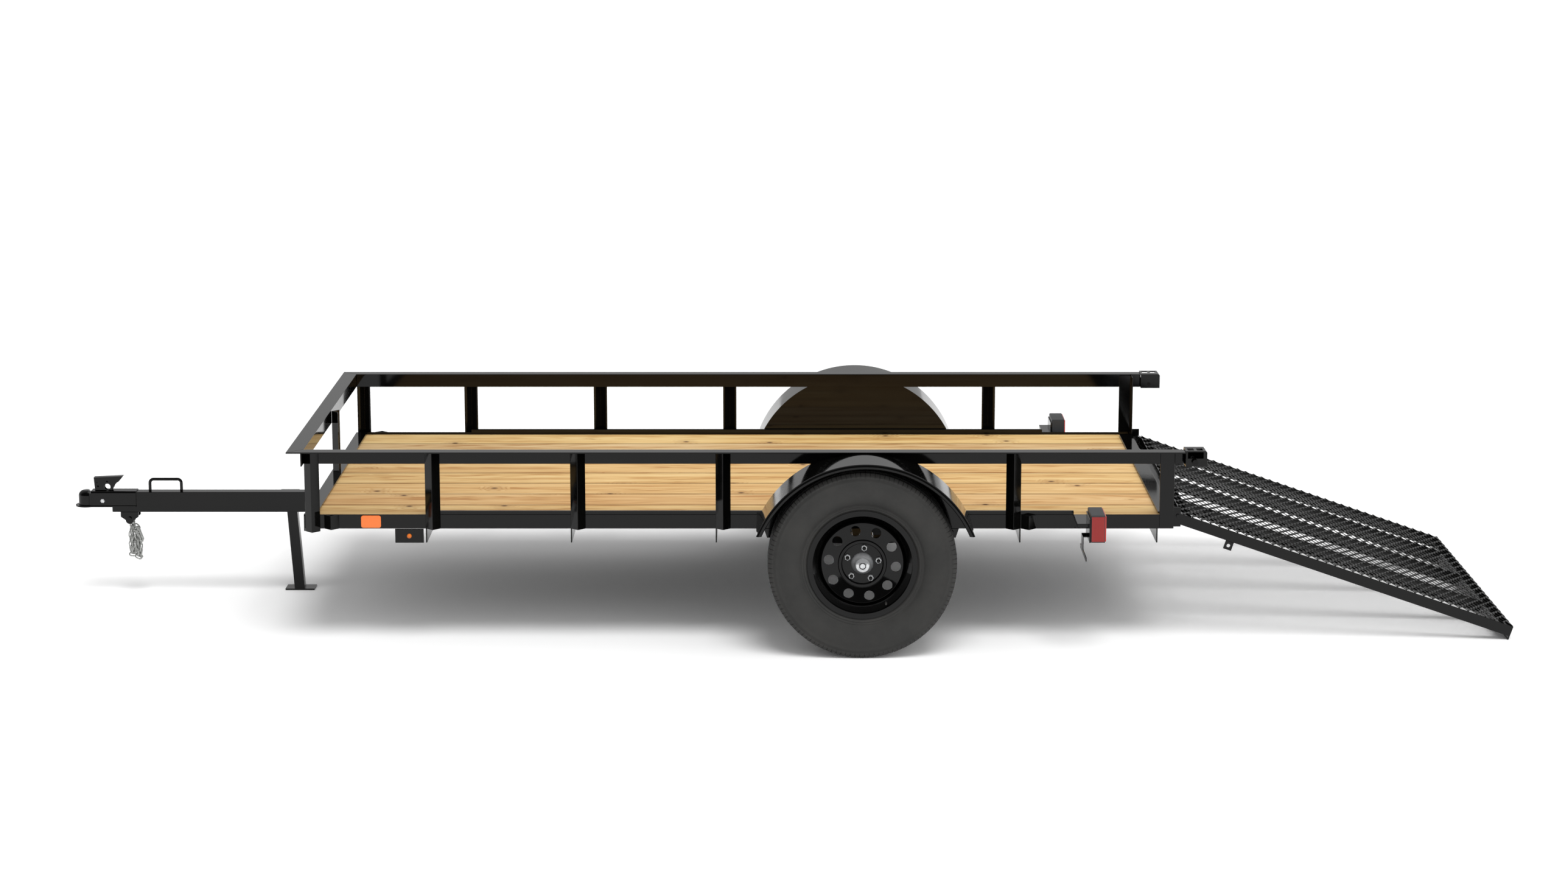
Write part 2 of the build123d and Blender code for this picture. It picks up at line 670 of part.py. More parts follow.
def place_wheel(shape, side):
    """From a wheel's own frame (+Z outward) to its place on the trailer."""
    turn = Rot(-90 * side, 0, 0)
    return Pos(AXLE_X, side * (HALF_WIDTH + TYRE_OFFSET), TYRE_RADIUS) * turn * shape


def tyre(side):
    """Tyre carcass: tread band, bowed sidewalls and beads, hollow inside."""
    half = TYRE_WIDTH / 2
    bead = RIM_WIDTH / 2 - RIM_WALL
    seat = RIM_BEAD_RADIUS + BEAD_CLEARANCE
    low = RIM_FLANGE_RADIUS + 5.0
    belly = (RIM_FLANGE_RADIUS + TYRE_RADIUS) / 2 - 4.0
    shoulder = TYRE_RADIUS - 16.0
    tread = half - 20.0
    inner_crown = TYRE_RADIUS - TYRE_WALL
    inner_half = half - TYRE_WALL

    def point(radius, offset):
        return (radius, 0, offset)

    edges = []
    for face in (-1, 1):
        edges += [
            Line(point(seat, face * bead), point(low, face * bead)),
            ThreePointArc(
                point(low, face * bead),
                point(belly, face * half),
                point(shoulder, face * (half - 8.0)),
            ),
            Line(point(shoulder, face * (half - 8.0)), point(TYRE_RADIUS - 3.0, face * tread)),
            Line(point(seat, face * bead), point(seat, face * (bead - TYRE_WALL))),
            Line(point(seat, face * (bead - TYRE_WALL)), point(belly, face * inner_half)),
            Line(point(belly, face * inner_half), point(inner_crown, face * (tread - TYRE_WALL))),
        ]
    edges.append(
        ThreePointArc(
            point(TYRE_RADIUS - 3.0, -tread), point(TYRE_RADIUS, 0), point(TYRE_RADIUS - 3.0, tread)
        )
    )
    inner_tread = tread - TYRE_WALL
    edges.append(Line(point(inner_crown, -inner_tread), point(inner_crown, inner_tread)))
    return place_wheel(revolve(make_face(edges), Axis.Z), side)


def wheel_rim(side):
    """Pressed rim with a drop well, and the disc welded into it."""
    half = RIM_WIDTH / 2
    bead = half - RIM_WALL
    seat = RIM_BEAD_RADIUS
    well = RIM_WELL_RADIUS
    outer_line = [
        (RIM_FLANGE_RADIUS, half),
        (RIM_FLANGE_RADIUS, bead),
        (seat, bead),
        (seat, bead - 20.0),
        (well, bead - 38.0),
        (well, -bead + 38.0),
        (seat, -bead + 20.0),
        (seat, -bead),
        (RIM_FLANGE_RADIUS, -bead),
        (RIM_FLANGE_RADIUS, -half),
    ]
    inner_line = [
        (seat - RIM_WALL, -half),
        (seat - RIM_WALL, -bead + 18.0),
        (well - RIM_WALL, -bead + 36.0),
        (well - RIM_WALL, bead - 36.0),
        (seat - RIM_WALL, bead - 18.0),
        (seat - RIM_WALL, half),
    ]
    return ring(outer_line + inner_line, side) + wheel_disc(side)


def wheel_disc(side):
    """Disc with vent holes, a raised ring round the hub seat and the hub bore."""
    face = DISC_FACE
    back = face - RIM_WALL
    edge = RIM_WELL_RADIUS - RIM_WALL
    profile = [
        (HUB_BORE_RADIUS, back),
        (HUB_BORE_RADIUS, face),
        (HUB_SEAT_RADIUS, face),
        (HUB_SEAT_RADIUS + 4.0, face + HUB_RING_HEIGHT),
        (HUB_RING_RADIUS - 3.0, face + HUB_RING_HEIGHT),
        (HUB_RING_RADIUS, face + 4.0),
        (DISC_RADIUS - 12.0, face - 6.0),
        (edge, face - 22.0),
        (edge, face - 34.0),
        (DISC_RADIUS - 12.0, face - 6.0 - RIM_WALL),
        (HUB_RING_RADIUS, face + 4.0 - RIM_WALL),
        (HUB_RING_RADIUS - 3.0, face + HUB_RING_HEIGHT - RIM_WALL),
        (HUB_SEAT_RADIUS + 4.0, face + HUB_RING_HEIGHT - RIM_WALL),
        (HUB_SEAT_RADIUS, back),
    ]
    disc = ring(profile, side)
    for turn in spread(BOLT_TURN + 180.0 / VENT_COUNT, VENT_COUNT):
        disc = disc - wheel_bore(VENT_CIRCLE, VENT_RADIUS, turn, side)
    for turn in spread(BOLT_TURN, BOLT_COUNT):
        disc = disc - wheel_bore(BOLT_CIRCLE, STUD_RADIUS + STUD_CLEARANCE, turn, side)
    return disc


def spread(first, count):
    """Angles of evenly spaced places, from the first one on."""
    return [first + index * 360.0 / count for index in range(count)]


def wheel_point(radius, clockwise, side):
    """Place in a wheel's own frame, given clockwise from the top as seen from outside."""
    angle = math.radians(clockwise)
    return (-side * radius * math.sin(angle), -side * radius * math.cos(angle))


def wheel_bore(circle, radius, turn, side):
    """Round cutter through the disc."""
    x, y = wheel_point(circle, turn, side)
    cutter = Pos(x, y, DISC_FACE) * Cylinder(radius, 2 * DISC_FACE)
    return place_wheel(cutter, side)


def hub(side):
    """Hub barrel and flange behind the disc, with a dust cap, five studs and their nuts."""
    back = DISC_FACE - RIM_WALL
    bore = SPINDLE_RADIUS + HUB_CLEARANCE
    inner_end = -HUB_LENGTH + HUB_END_GAP
    bore_end = DISC_FACE - SPINDLE_END_GAP + HUB_END_GAP
    cap_top = DISC_FACE + CAP_REACH
    profile = [
        (bore, inner_end),
        (HUB_BARREL_RADIUS, inner_end),
        (HUB_BARREL_RADIUS, back - HUB_FLANGE),
        (HUB_SEAT_RADIUS, back - HUB_FLANGE),
        (HUB_SEAT_RADIUS, back),
        (CAP_RADIUS, back),
        (CAP_RADIUS, cap_top - 9.0),
        (CAP_RADIUS - 3.0, cap_top - 3.0),
        (CAP_RADIUS - 10.0, cap_top),
        (0, cap_top),
        (0, bore_end),
        (bore, bore_end),
    ]
    body = ring(profile, side)
    for turn in spread(BOLT_TURN, BOLT_COUNT):
        x, y = wheel_point(BOLT_CIRCLE, turn, side)
        stud_length = STUD_REACH + RIM_WALL
        stud = Pos(x, y, back + stud_length / 2) * Cylinder(STUD_RADIUS, stud_length)
        nut = Pos(x, y, DISC_FACE) * extrude(RegularPolygon(NUT_RADIUS, 6), NUT_HEIGHT)
        body = body + place_wheel(stud + nut, side)
    return body


# ---------------------------------------------------------------- tongue and coupler
TONGUE_TOP = Z0 - TONGUE_DROP
TONGUE_LOW = TONGUE_TOP - TONGUE_HEIGHT
NOSE_X = FRONT_X - COUPLER_REACH
TONGUE_FRONT_X = NOSE_X + COUPLER_NOSE


def tongue_beam():
    """Straight rectangular tube on the centreline, under the front member and crossmembers."""
    half = TONGUE_WIDTH / 2
    x = (TONGUE_FRONT_X, at_front(TONGUE_BACK))
    tube = block(x, (-half, half), (TONGUE_LOW, TONGUE_TOP))
    hollow = block(
        (x[0] - 1, x[1] + 1),
        (-half + TONGUE_WALL, half - TONGUE_WALL),
        (TONGUE_LOW + TONGUE_WALL, TONGUE_TOP - TONGUE_WALL),
    )
    return tube - hollow


def tongue_saddle():
    """Spacer between the tongue and the front member's underside."""
    half = TONGUE_WIDTH / 2 + 12.0
    x = (FRONT_X - ANGLE_WALL, FRONT_X + SADDLE_LENGTH)
    spacer = block(x, (-half, half), (TONGUE_TOP, Z0 - FRONT_DROP))
    riser_x = (FRONT_X, FRONT_X + FRONT_COVER)
    riser = block(riser_x, (-half, half), (Z0 - FRONT_DROP, Z0))
    return spacer + riser


BALL_X = NOSE_X + COUPLER_LIP_RADIUS
BALL_Z = Z0 - BALL_DROP
COUPLER_TOP = TONGUE_TOP + COUPLER_WALL
COUPLER_LOW = Z0 - COUPLER_LIP_DROP
SLEEVE_END_X = TONGUE_FRONT_X + COUPLER_SLEEVE


def coupler():
    """Pressed ball coupler: round nose over its socket, a body, and a sleeve over the tongue."""
    socket = BALL_RADIUS + BALL_CLEARANCE
    half = socket + COUPLER_WALL
    height = (COUPLER_LOW, COUPLER_TOP)
    dome = rod_z(BALL_X, 0, half, height)
    dome = fillet(dome.faces().sort_by(Axis.Z)[-1].edges(), COUPLER_ROUND)
    near, far = COUPLER_GROOVE
    body = block((BALL_X + (near + far) / 2, SLEEVE_END_X), (-half, half), height)
    long_edges = body.edges().filter_by(Axis.X).group_by(Axis.Z)[-1]
    body = fillet(long_edges, COUPLER_EDGE)
    lip_z = (COUPLER_LOW, COUPLER_LOW + COUPLER_LIP_HEIGHT)
    nose_lip = rod_z(BALL_X, 0, COUPLER_LIP_RADIUS, lip_z)
    side_lip = block((BALL_X, SLEEVE_END_X), (-COUPLER_LIP_HALF, COUPLER_LIP_HALF), lip_z)
    tongue = TONGUE_WIDTH / 2
    bite = block((BALL_X + half, SLEEVE_END_X + 1), (-tongue, tongue), (COUPLER_LOW - 1, TONGUE_TOP))
    ball = Pos(BALL_X, 0, BALL_Z) * Sphere(socket)
    throat = rod_z(BALL_X, 0, socket, (COUPLER_LOW - 1, BALL_Z))
    floor = COUPLER_TOP - COUPLER_GROOVE_DEPTH
    groove = block((BALL_X + near, BALL_X + far), (-half - 1, half + 1), (floor, COUPLER_TOP + 1))
    return fuse([dome, body, nose_lip, side_lip]) - bite - ball - throat - groove


# latch's side view: (behind the ball's centre, above the coupler's top)
LATCH_FRONT = ((34.0, 0.0), (30.0, 49.4))
LATCH_REAR = ((140.0, 54.4), (123.0, 33.4), (116.0, 29.4), (106.0, 18.4), (102.0, 9.4), (96.0, 0.0))


def coupler_latch():
    """Channel of folded sheet over the coupler: two cheeks under a sloping lever top."""
    outline = [(BALL_X + x, COUPLER_TOP + z) for x, z in LATCH_FRONT + LATCH_REAR]
    cheeks = [
        prism_y(outline, (side * LATCH_HALF, side * (LATCH_HALF - LATCH_SHEET))) for side in (-1, 1)
    ]
    (front_x, front_z), (rear_x, rear_z) = outline[1], outline[2]
    web = prism_y(
        [
            (front_x, front_z),
            (rear_x, rear_z),
            (rear_x - LATCH_SHEET, rear_z - LATCH_SHEET),
            (front_x, front_z - LATCH_SHEET),
        ],
        (-LATCH_HALF, LATCH_HALF),
    )
    latch = fuse([cheeks[0], web, cheeks[1]])
    for x, z, radius in LATCH_EYES:
        eye = rod_y(BALL_X + x, COUPLER_TOP + z, radius, (-LATCH_HALF - 1, LATCH_HALF + 1))
        latch = latch - eye
    return latch


def lift_handle():
    """Round-bar grab handle welded on top of the tongue."""
    front = SLEEVE_END_X + HANDLE_GAP
    back = front + HANDLE_SPAN
    top = TONGUE_TOP + HANDLE_HEIGHT - HANDLE_RADIUS
    path = FilletPolyline(
        (front, 0, TONGUE_TOP),
        (front, 0, top),
        (back, 0, top),
        (back, 0, TONGUE_TOP),
        radius=HANDLE_BEND,
    )
    section = Plane(origin=path @ 0, z_dir=path % 0) * Circle(HANDLE_RADIUS)
    return sweep(section, path=path)


CHAIN_X = TONGUE_FRONT_X + CHAIN_SETBACK
CHAIN_BOLT_Z = TONGUE_LOW - CHAIN_BOLT_DROP


def chain_bracket():
    """Two plates under the tongue with the bolt between them that carries the safety chains."""
    half = CHAIN_PLATE_LENGTH / 2
    tip_z = TONGUE_LOW - CHAIN_PLATE_DROP + CHAIN_PLATE_TIP
    outline = [
        (CHAIN_X - half, TONGUE_LOW),
        (CHAIN_X + half, TONGUE_LOW),
        (CHAIN_X + half, TONGUE_LOW - CHAIN_PLATE_CHEEK),
        (CHAIN_X + CHAIN_PLATE_TIP, tip_z),
        (CHAIN_X - CHAIN_PLATE_TIP, tip_z),
        (CHAIN_X - half, TONGUE_LOW - CHAIN_PLATE_CHEEK),
    ]
    outside = TONGUE_WIDTH / 2
    half_bolt = outside + CHAIN_BOLT_REACH
    bracket = rod_y(CHAIN_X, CHAIN_BOLT_Z, CHAIN_BOLT_RADIUS, (-half_bolt, half_bolt))
    for side in (-1, 1):
        y = (side * (outside - CHAIN_PLATE_WALL), side * outside)
        plate = prism_y(outline, y) + rod_y(CHAIN_X, tip_z, CHAIN_PLATE_TIP, y)
        bracket = bracket + plate
    return bracket


def flat_link(length, width):
    """Link of square wire in the XZ plane, hanging down from the origin."""
    half, corner = width / 2, CHAIN_LINK_CORNER
    outer = [
        (half - corner, 0),
        (half, -corner),
        (half, corner - length),
        (half - corner, -length),
        (corner - half, -length),
        (-half, corner - length),
        (-half, -corner),
        (corner - half, 0),
    ]
    wire = (-CHAIN_WIRE / 2, CHAIN_WIRE / 2)
    bore = block(
        (CHAIN_WIRE - half, half - CHAIN_WIRE), (-CHAIN_WIRE, CHAIN_WIRE), (CHAIN_WIRE - length, -CHAIN_WIRE)
    )
    return prism_y(outer, wire) - bore


def safety_chains():
    """Both chains, each draped over the bracket's bolt with its hook between the strands."""
    inner = CHAIN_BOLT_RADIUS + CHAIN_CLEARANCE
    wire = (-CHAIN_WIRE / 2, CHAIN_WIRE / 2)
    ring = rod_y(0, 0, inner + CHAIN_WIRE, wire) - rod_y(0, 0, inner, (-CHAIN_WIRE, CHAIN_WIRE))
    pieces = [ring]
    link = flat_link(CHAIN_LINK_LENGTH, CHAIN_LINK_WIDTH)
    pitch = CHAIN_LINK_LENGTH - 2 * CHAIN_WIRE + CHAIN_BITE
    for end in (-1, 1):
        for index in range(CHAIN_LINKS):
            turn = 90 if index % 2 == 0 else 0
            place = Pos(end * (inner + CHAIN_WIRE / 2 + 1), 0, CHAIN_WIRE / 2 - index * pitch)
            pieces.append(place * Rot(0, 0, turn) * link)
    hook_x, hook_z = HOOK_PLACE
    hook = Pos(hook_x, 0, hook_z) * Rot(0, -HOOK_TILT, 0) * flat_link(HOOK_LENGTH, HOOK_WIDTH)
    chain = fuse(pieces + [hook])
    return [Pos(CHAIN_X, side * CHAIN_OFFSET, CHAIN_BOLT_Z) * chain for side in (-1, 1)]


# ---------------------------------------------------------------- lamps and markers
def side_reflector(side):
    """Rounded reflector on the side rail near the front."""
    x = at_front(REFLECTOR_PLACE)
    half = REFLECTOR_LENGTH / 2
    middle = (Z0 + RAIL_EDGE) / 2
    z = (middle - REFLECTOR_HEIGHT / 2, middle + REFLECTOR_HEIGHT / 2)
    plate = side_block(side, (x - half, x + half), (0, REFLECTOR_THICKNESS), z)
    return fillet(plate.edges().filter_by(Axis.Y), REFLECTOR_ROUND)


def lamp_plate(side):
    """Drop plate under the side rail that carries the side lamp."""
    x = at_front(SIDE_LAMP_PLACE)
    half = LAMP_PLATE_LENGTH / 2
    return side_block(side, (x - half, x + half), (0, LAMP_PLATE_WALL), (Z0 - LAMP_PLATE_DROP, Z0))


def side_lamp(side):
    """Small round lamp on its plate."""
    x = at_front(SIDE_LAMP_PLACE)
    near = HALF_WIDTH + LAMP_PLATE_WALL
    y = (side * near, side * (near + SIDE_LAMP_REACH))
    return rod_y(x, Z0 - LAMP_PLATE_DROP / 2, SIDE_LAMP_RADIUS, y)


def tail_bracket(side):
    """Bar from the side rail's top edge and the upright plate that carry the tail lamp."""
    arm_z = (RAIL_EDGE - LAMP_ARM_DEPTH, RAIL_EDGE)
    arm = side_block(side, (LAMP_ARM_X, LAMP_X), (0, LAMP_ARM_REACH), arm_z)
    low = Z0 - LAMP_DROP
    upright_x = (LAMP_X - LAMP_BACK_WALL, LAMP_X)
    out = (LAMP_OFFSET, LAMP_OFFSET + LAMP_WIDTH)
    upright = side_block(side, upright_x, out, (low, low + LAMP_BACK_HEIGHT))
    return arm + upright


def tail_lamp(side):
    """Box lamp facing the rear, with its lens on the outer side too."""
    x = (LAMP_X, LAMP_X + LAMP_LENGTH)
    z = (Z0 - LAMP_DROP, Z0 - LAMP_DROP + LAMP_HEIGHT)
    body = side_block(side, x, (LAMP_OFFSET, LAMP_OFFSET + LAMP_WIDTH), z)
    return fillet(body.edges().filter_by(Axis.X), LAMP_ROUND)


def licence_bracket():
    """Strip hung below the left tail lamp's plate, with two holes for a number plate."""
    front = LAMP_X - LICENCE_SETBACK
    x = (front, front + LICENCE_WALL)
    top = Z0 - LAMP_DROP
    strip_top = Z0 - LICENCE_DROP
    strip_out = (LICENCE_OFFSET, LICENCE_OFFSET + LICENCE_LENGTH)
    strip = side_block(-1, x, strip_out, (strip_top - LICENCE_HEIGHT, strip_top))
    hanger = side_block(-1, x, LICENCE_HANGER, (strip_top, top))
    flange_x = (front, LAMP_X - LAMP_BACK_WALL)
    flange = side_block(-1, flange_x, LICENCE_HANGER, (top, top + LICENCE_WALL))
    bracket = fuse([strip, hanger, flange])
    centre = -(HALF_WIDTH + LICENCE_OFFSET + LICENCE_LENGTH / 2)
    for end in (-1, 1):
        y = centre + end * LICENCE_HOLE_SPACING / 2
        z = strip_top - LICENCE_HEIGHT / 2
        bracket = bracket - rod_x(y, z, LICENCE_HOLE_RADIUS, (x[0] - 1, x[1] + 1))
    return bracket


# ---------------------------------------------------------------- hinges and latches
RAMP_HALF = HALF_WIDTH - RAMP_SIDE_GAP
LATCH_X = HINGE_X + LATCH_DEPTH
LATCH_Z = HINGE_Z + LATCH_DISTANCE


def hinge_bracket(side):
    """Two lugs on the frame's rear with the pin between them, one side."""
    outer = RAMP_HALF + HINGE_SIDE_GAP
    inner = RAMP_HALF - RAMP_BAR_LEG - HINGE_SIDE_GAP
    tall_y = (side * outer, side * (outer + HINGE_PLATE))
    tall = block((REAR_X, HINGE_X + HINGE_LUG_RADIUS), tall_y, (Z0, Z0 + HINGE_TALL_LUG))
    short_y = (side * (inner - HINGE_PLATE), side * inner)
    short_z = (HINGE_Z - HINGE_LUG_RADIUS, HINGE_Z + HINGE_LUG_RADIUS)
    short = block((REAR_X, HINGE_X), short_y, short_z)
    eye = rod_y(HINGE_X, HINGE_Z, HINGE_LUG_RADIUS, short_y)
    reach = HINGE_PLATE + HINGE_PIN_END
    pin_y = (side * (inner - reach), side * (outer + reach))
    pin = rod_y(HINGE_X, HINGE_Z, HINGE_PIN_RADIUS, pin_y)
    return fuse([tall, pin, eye, short])


def latch_box(side):
    """Open box at the end of the upper rail that guides the ramp's latch pin."""
    x = (REAR_X + TOP_RAIL_TAIL, REAR_X + TOP_RAIL_TAIL + LATCH_BOX_LENGTH)
    out = (-LATCH_BOX_INSET, TOP_FLANGE_REACH)
    z = (LATCH_Z - LATCH_BOX_BELOW, TOP_Z + LATCH_BOX_RISE)
    shell = side_block(side, x, out, z)
    rear_edge = shell.edges().filter_by(Axis.Y).sort_by(lambda edge: edge.center().X + edge.center().Z)[-1]
    shell = chamfer(rear_edge, LATCH_BOX_BEVEL)
    wall = LATCH_BOX_WALL
    hollow = side_block(
        side,
        (x[0] - 1, x[1] - wall),
        (out[0] + wall, out[1] - wall),
        (z[0] + wall, z[1] - wall),
    )
    pin_y = (side * (HALF_WIDTH + out[0] - 1), side * (HALF_WIDTH + out[1] + 1))
    bore = rod_y(LATCH_X, LATCH_Z, LATCH_PIN_RADIUS + HINGE_CLEARANCE, pin_y)
    window = side_block(
        side,
        (x[0] + LATCH_WINDOW[0], x[0] + LATCH_WINDOW[1]),
        (out[1] - 2 * wall, out[1] + 1),
        (LATCH_Z + LATCH_WINDOW_RISE, z[1] - wall),
    )
    box = shell - hollow - bore - window
    for start, end in LATCH_SLOTS:
        slot_z = (z[1] - 2 * wall, z[1] + 1)
        box = box - side_block(side, (x[0] + start, x[0] + end), LATCH_SLOT_OUT, slot_z)
    return box


def latch_pin(side):
    """Spring pin drawn back in its box, with a round pull outside."""
    inner = side * (HALF_WIDTH - LATCH_BOX_INSET + LATCH_PIN_SETBACK)
    outer = side * (HALF_WIDTH + TOP_FLANGE_REACH + LATCH_PULL_REACH)
    pin = rod_y(LATCH_X, LATCH_Z, LATCH_PIN_RADIUS, (inner, outer))
    pull = rod_y(LATCH_X, LATCH_Z, LATCH_PULL_RADIUS, (outer - side * LATCH_PULL_LENGTH, outer))
    return pin + pull


# ---------------------------------------------------------------- ramp, built flat and then lowered
def ramp_block(s, y, n):
    """Box in the ramp's own directions: s from the hinge along it, n square to it."""
    return block((HINGE_X + s[0], HINGE_X + s[1]), y, (HINGE_Z + n[0], HINGE_Z + n[1]))


def lower(shape):
    """Turn a flat-built ramp piece down to the ground about the hinge."""
    return shape.rotate(Axis((HINGE_X, 0, HINGE_Z), (0, 1, 0)), RAMP_SLOPE)


# lengthwise bars between the side bars: (upright leg from the ramp's left side, leg depth)
RAMP_BARS = (
    (308.0, RAMP_BAR_LEG),
    (721.0, RAMP_BAR_LEG),
    (1121.0, RAMP_END_LEG - RAMP_BAR_WALL),
)


def ramp_frame():
    """Welded border: side bars, first bar, end bar and the two hinge knuckles."""
    leg_n = (RAMP_TOP - RAMP_BAR_LEG, RAMP_TOP)
    foot_n = (RAMP_TOP - RAMP_BAR_LEG, RAMP_TOP - RAMP_BAR_LEG + RAMP_BAR_WALL)
    cover_n = (RAMP_TOP - RAMP_BAR_WALL, RAMP_TOP)
    full_y = (-RAMP_HALF, RAMP_HALF)
    first_leg = ramp_block((RAMP_START, RAMP_START + RAMP_BAR_WALL), full_y, leg_n)
    first_cover = ramp_block((RAMP_START, RAMP_START + RAMP_BAR_LEG), full_y, cover_n)
    end_n = (RAMP_TIP_LOW, RAMP_TOP)
    end_leg = ramp_block((RAMP_TIP_S - RAMP_BAR_WALL, RAMP_TIP_S), full_y, end_n)
    end_cover = ramp_block((RAMP_TIP_S - RAMP_END_LEG, RAMP_TIP_S), full_y, cover_n)
    pieces = [first_leg, first_cover, end_leg, end_cover]
    for side in (-1, 1):
        s = (RAMP_START, RAMP_TIP_S)
        leg_y = (side * (RAMP_HALF - RAMP_BAR_WALL), side * RAMP_HALF)
        foot_y = (side * (RAMP_HALF - RAMP_BAR_LEG), side * RAMP_HALF)
        pieces.append(ramp_block(s, leg_y, leg_n))
        pieces.append(ramp_block(s, foot_y, foot_n))
        knuckle = rod_y(HINGE_X, HINGE_Z, KNUCKLE_RADIUS, foot_y)
        strap = ramp_block((0, RAMP_START), foot_y, (-KNUCKLE_RADIUS, RAMP_TOP))
        pieces += [knuckle, strap]
    frame = fuse(pieces)
    bore = rod_y(HINGE_X, HINGE_Z, HINGE_PIN_RADIUS + HINGE_CLEARANCE, full_y)
    return lower(frame - bore)


def ramp_bars():
    """Lengthwise angles that carry the mesh between the side bars."""
    bars = []
    for place, depth in RAMP_BARS:
        y = place - RAMP_HALF
        s = (RAMP_START + RAMP_BAR_LEG, RAMP_TIP_S - RAMP_END_LEG)
        leg = ramp_block(s, (y - RAMP_BAR_WALL, y), (RAMP_TOP - depth, RAMP_TOP))
        foot_n = (RAMP_TOP - depth, RAMP_TOP - depth + RAMP_BAR_WALL)
        foot = ramp_block(s, (y - RAMP_BAR_LEG, y), foot_n)
        bars.append(lower(leg + foot))
    return bars


def ramp_mesh():
    """Expanded-metal sheet on the ramp's frame: a coarse lattice of diamond openings."""
    sheet = ramp_block(
        (RAMP_START, RAMP_TIP_S),
        (-RAMP_HALF, RAMP_HALF),
        (RAMP_TOP, RAMP_TOP + RAMP_MESH_WALL),
    )
    start = HINGE_X + RAMP_START + RAMP_BAR_LEG
    row = (HINGE_X + RAMP_TIP_S - RAMP_END_LEG - start) / MESH_ROWS
    half = RAMP_HALF - RAMP_BAR_LEG
    column = 2 * half / MESH_ROWS
    n = HINGE_Z + RAMP_TOP - 1
    outline = [
        (row / 2 - MESH_STRAND, 0, n),
        (0, column / 2 - MESH_STRAND, n),
        (MESH_STRAND - row / 2, 0, n),
        (0, MESH_STRAND - column / 2, n),
    ]
    diamond = prism(outline, (0, 0, RAMP_MESH_WALL + 2))
    places = [
        Pos(start + (i + 0.5 + shift) * row, -half + (j + 0.5 + shift) * column, 0)
        for shift in (0, 0.5)
        for i in range(MESH_ROWS - int(2 * shift))
        for j in range(MESH_ROWS - int(2 * shift))
    ]
    return lower(sheet - [place * diamond for place in places])


def ramp_tab(side):
    """Latch tab under a side bar, with the hole that the latch pin enters."""
    y = (side * (RAMP_HALF - TAB_WALL), side * RAMP_HALF)
    top = RAMP_TOP - RAMP_BAR_LEG
    low = -LATCH_DEPTH - TAB_HALF
    tab = ramp_block((LATCH_DISTANCE - TAB_HALF, LATCH_DISTANCE + TAB_HALF), y, (low, top))
    bore = rod_y(HINGE_X + LATCH_DISTANCE, HINGE_Z - LATCH_DEPTH, LATCH_HOLE_RADIUS, y)
    return lower(tab - bore)


# ---------------------------------------------------------------- parking leg
LEG_X = FRONT_X - LEG_SETBACK
LEG_Z = (TONGUE_LOW + TONGUE_TOP) / 2
LEG_NEAR_Y = TONGUE_WIDTH / 2 + LEG_GAP
LEG_Y = LEG_NEAR_Y + LEG_TUBE / 2


def leg_mount():
    """Plate on the tongue's side with the pivot pin and the stop behind the leg."""
    face = TONGUE_WIDTH / 2
    plate_y = (face, LEG_NEAR_Y - LEG_SIDE_GAP)
    half = LEG_MOUNT_LENGTH / 2
    plate = block((LEG_X - half, LEG_X + half), plate_y, (TONGUE_LOW, TONGUE_TOP))
    pin = rod_y(LEG_X, LEG_Z, LEG_PIN_RADIUS, (face, LEG_NEAR_Y + LEG_TUBE + LEG_PIN_END))
    head_y = (LEG_NEAR_Y + LEG_TUBE + LEG_SIDE_GAP, LEG_NEAR_Y + LEG_TUBE + LEG_PIN_END)
    head = rod_y(LEG_X, LEG_Z, LEG_PIN_RADIUS + 5.0, head_y)
    return fuse([plate, pin, head])


def parking_leg():
    """Square leg that stands on its foot plate and swings forward beside the tongue."""
    reach = LEG_Z + LEG_TUBE
    tube = block(
        (-LEG_TUBE / 2, LEG_TUBE / 2),
        (-LEG_TUBE / 2, LEG_TUBE / 2),
        (-reach, LEG_TOP),
    )
    inner = LEG_TUBE / 2 - LEG_WALL
    hollow = block((-inner, inner), (-inner, inner), (-reach - 1, LEG_TOP + 1))
    bore = rod_y(0, 0, LEG_PIN_RADIUS + LEG_PIN_CLEARANCE, (-LEG_TUBE, LEG_TUBE))
    tube = (tube - hollow - bore).rotate(Axis.Y, -LEG_RAKE)
    tube = Pos(LEG_X, LEG_Y, LEG_Z) * tube
    ground = block(
        (LEG_X - reach, LEG_X + reach),
        (LEG_Y - reach, LEG_Y + reach),
        (-2 * reach, FOOT_PLATE),
    )
    foot_x = LEG_X + LEG_Z * math.tan(math.radians(LEG_RAKE))
    foot = block(
        (foot_x - FOOT_LENGTH / 2, foot_x + FOOT_LENGTH / 2),
        (LEG_NEAR_Y, LEG_NEAR_Y + FOOT_WIDTH),
        (0, FOOT_PLATE),
    )
    return (tube - ground) + foot


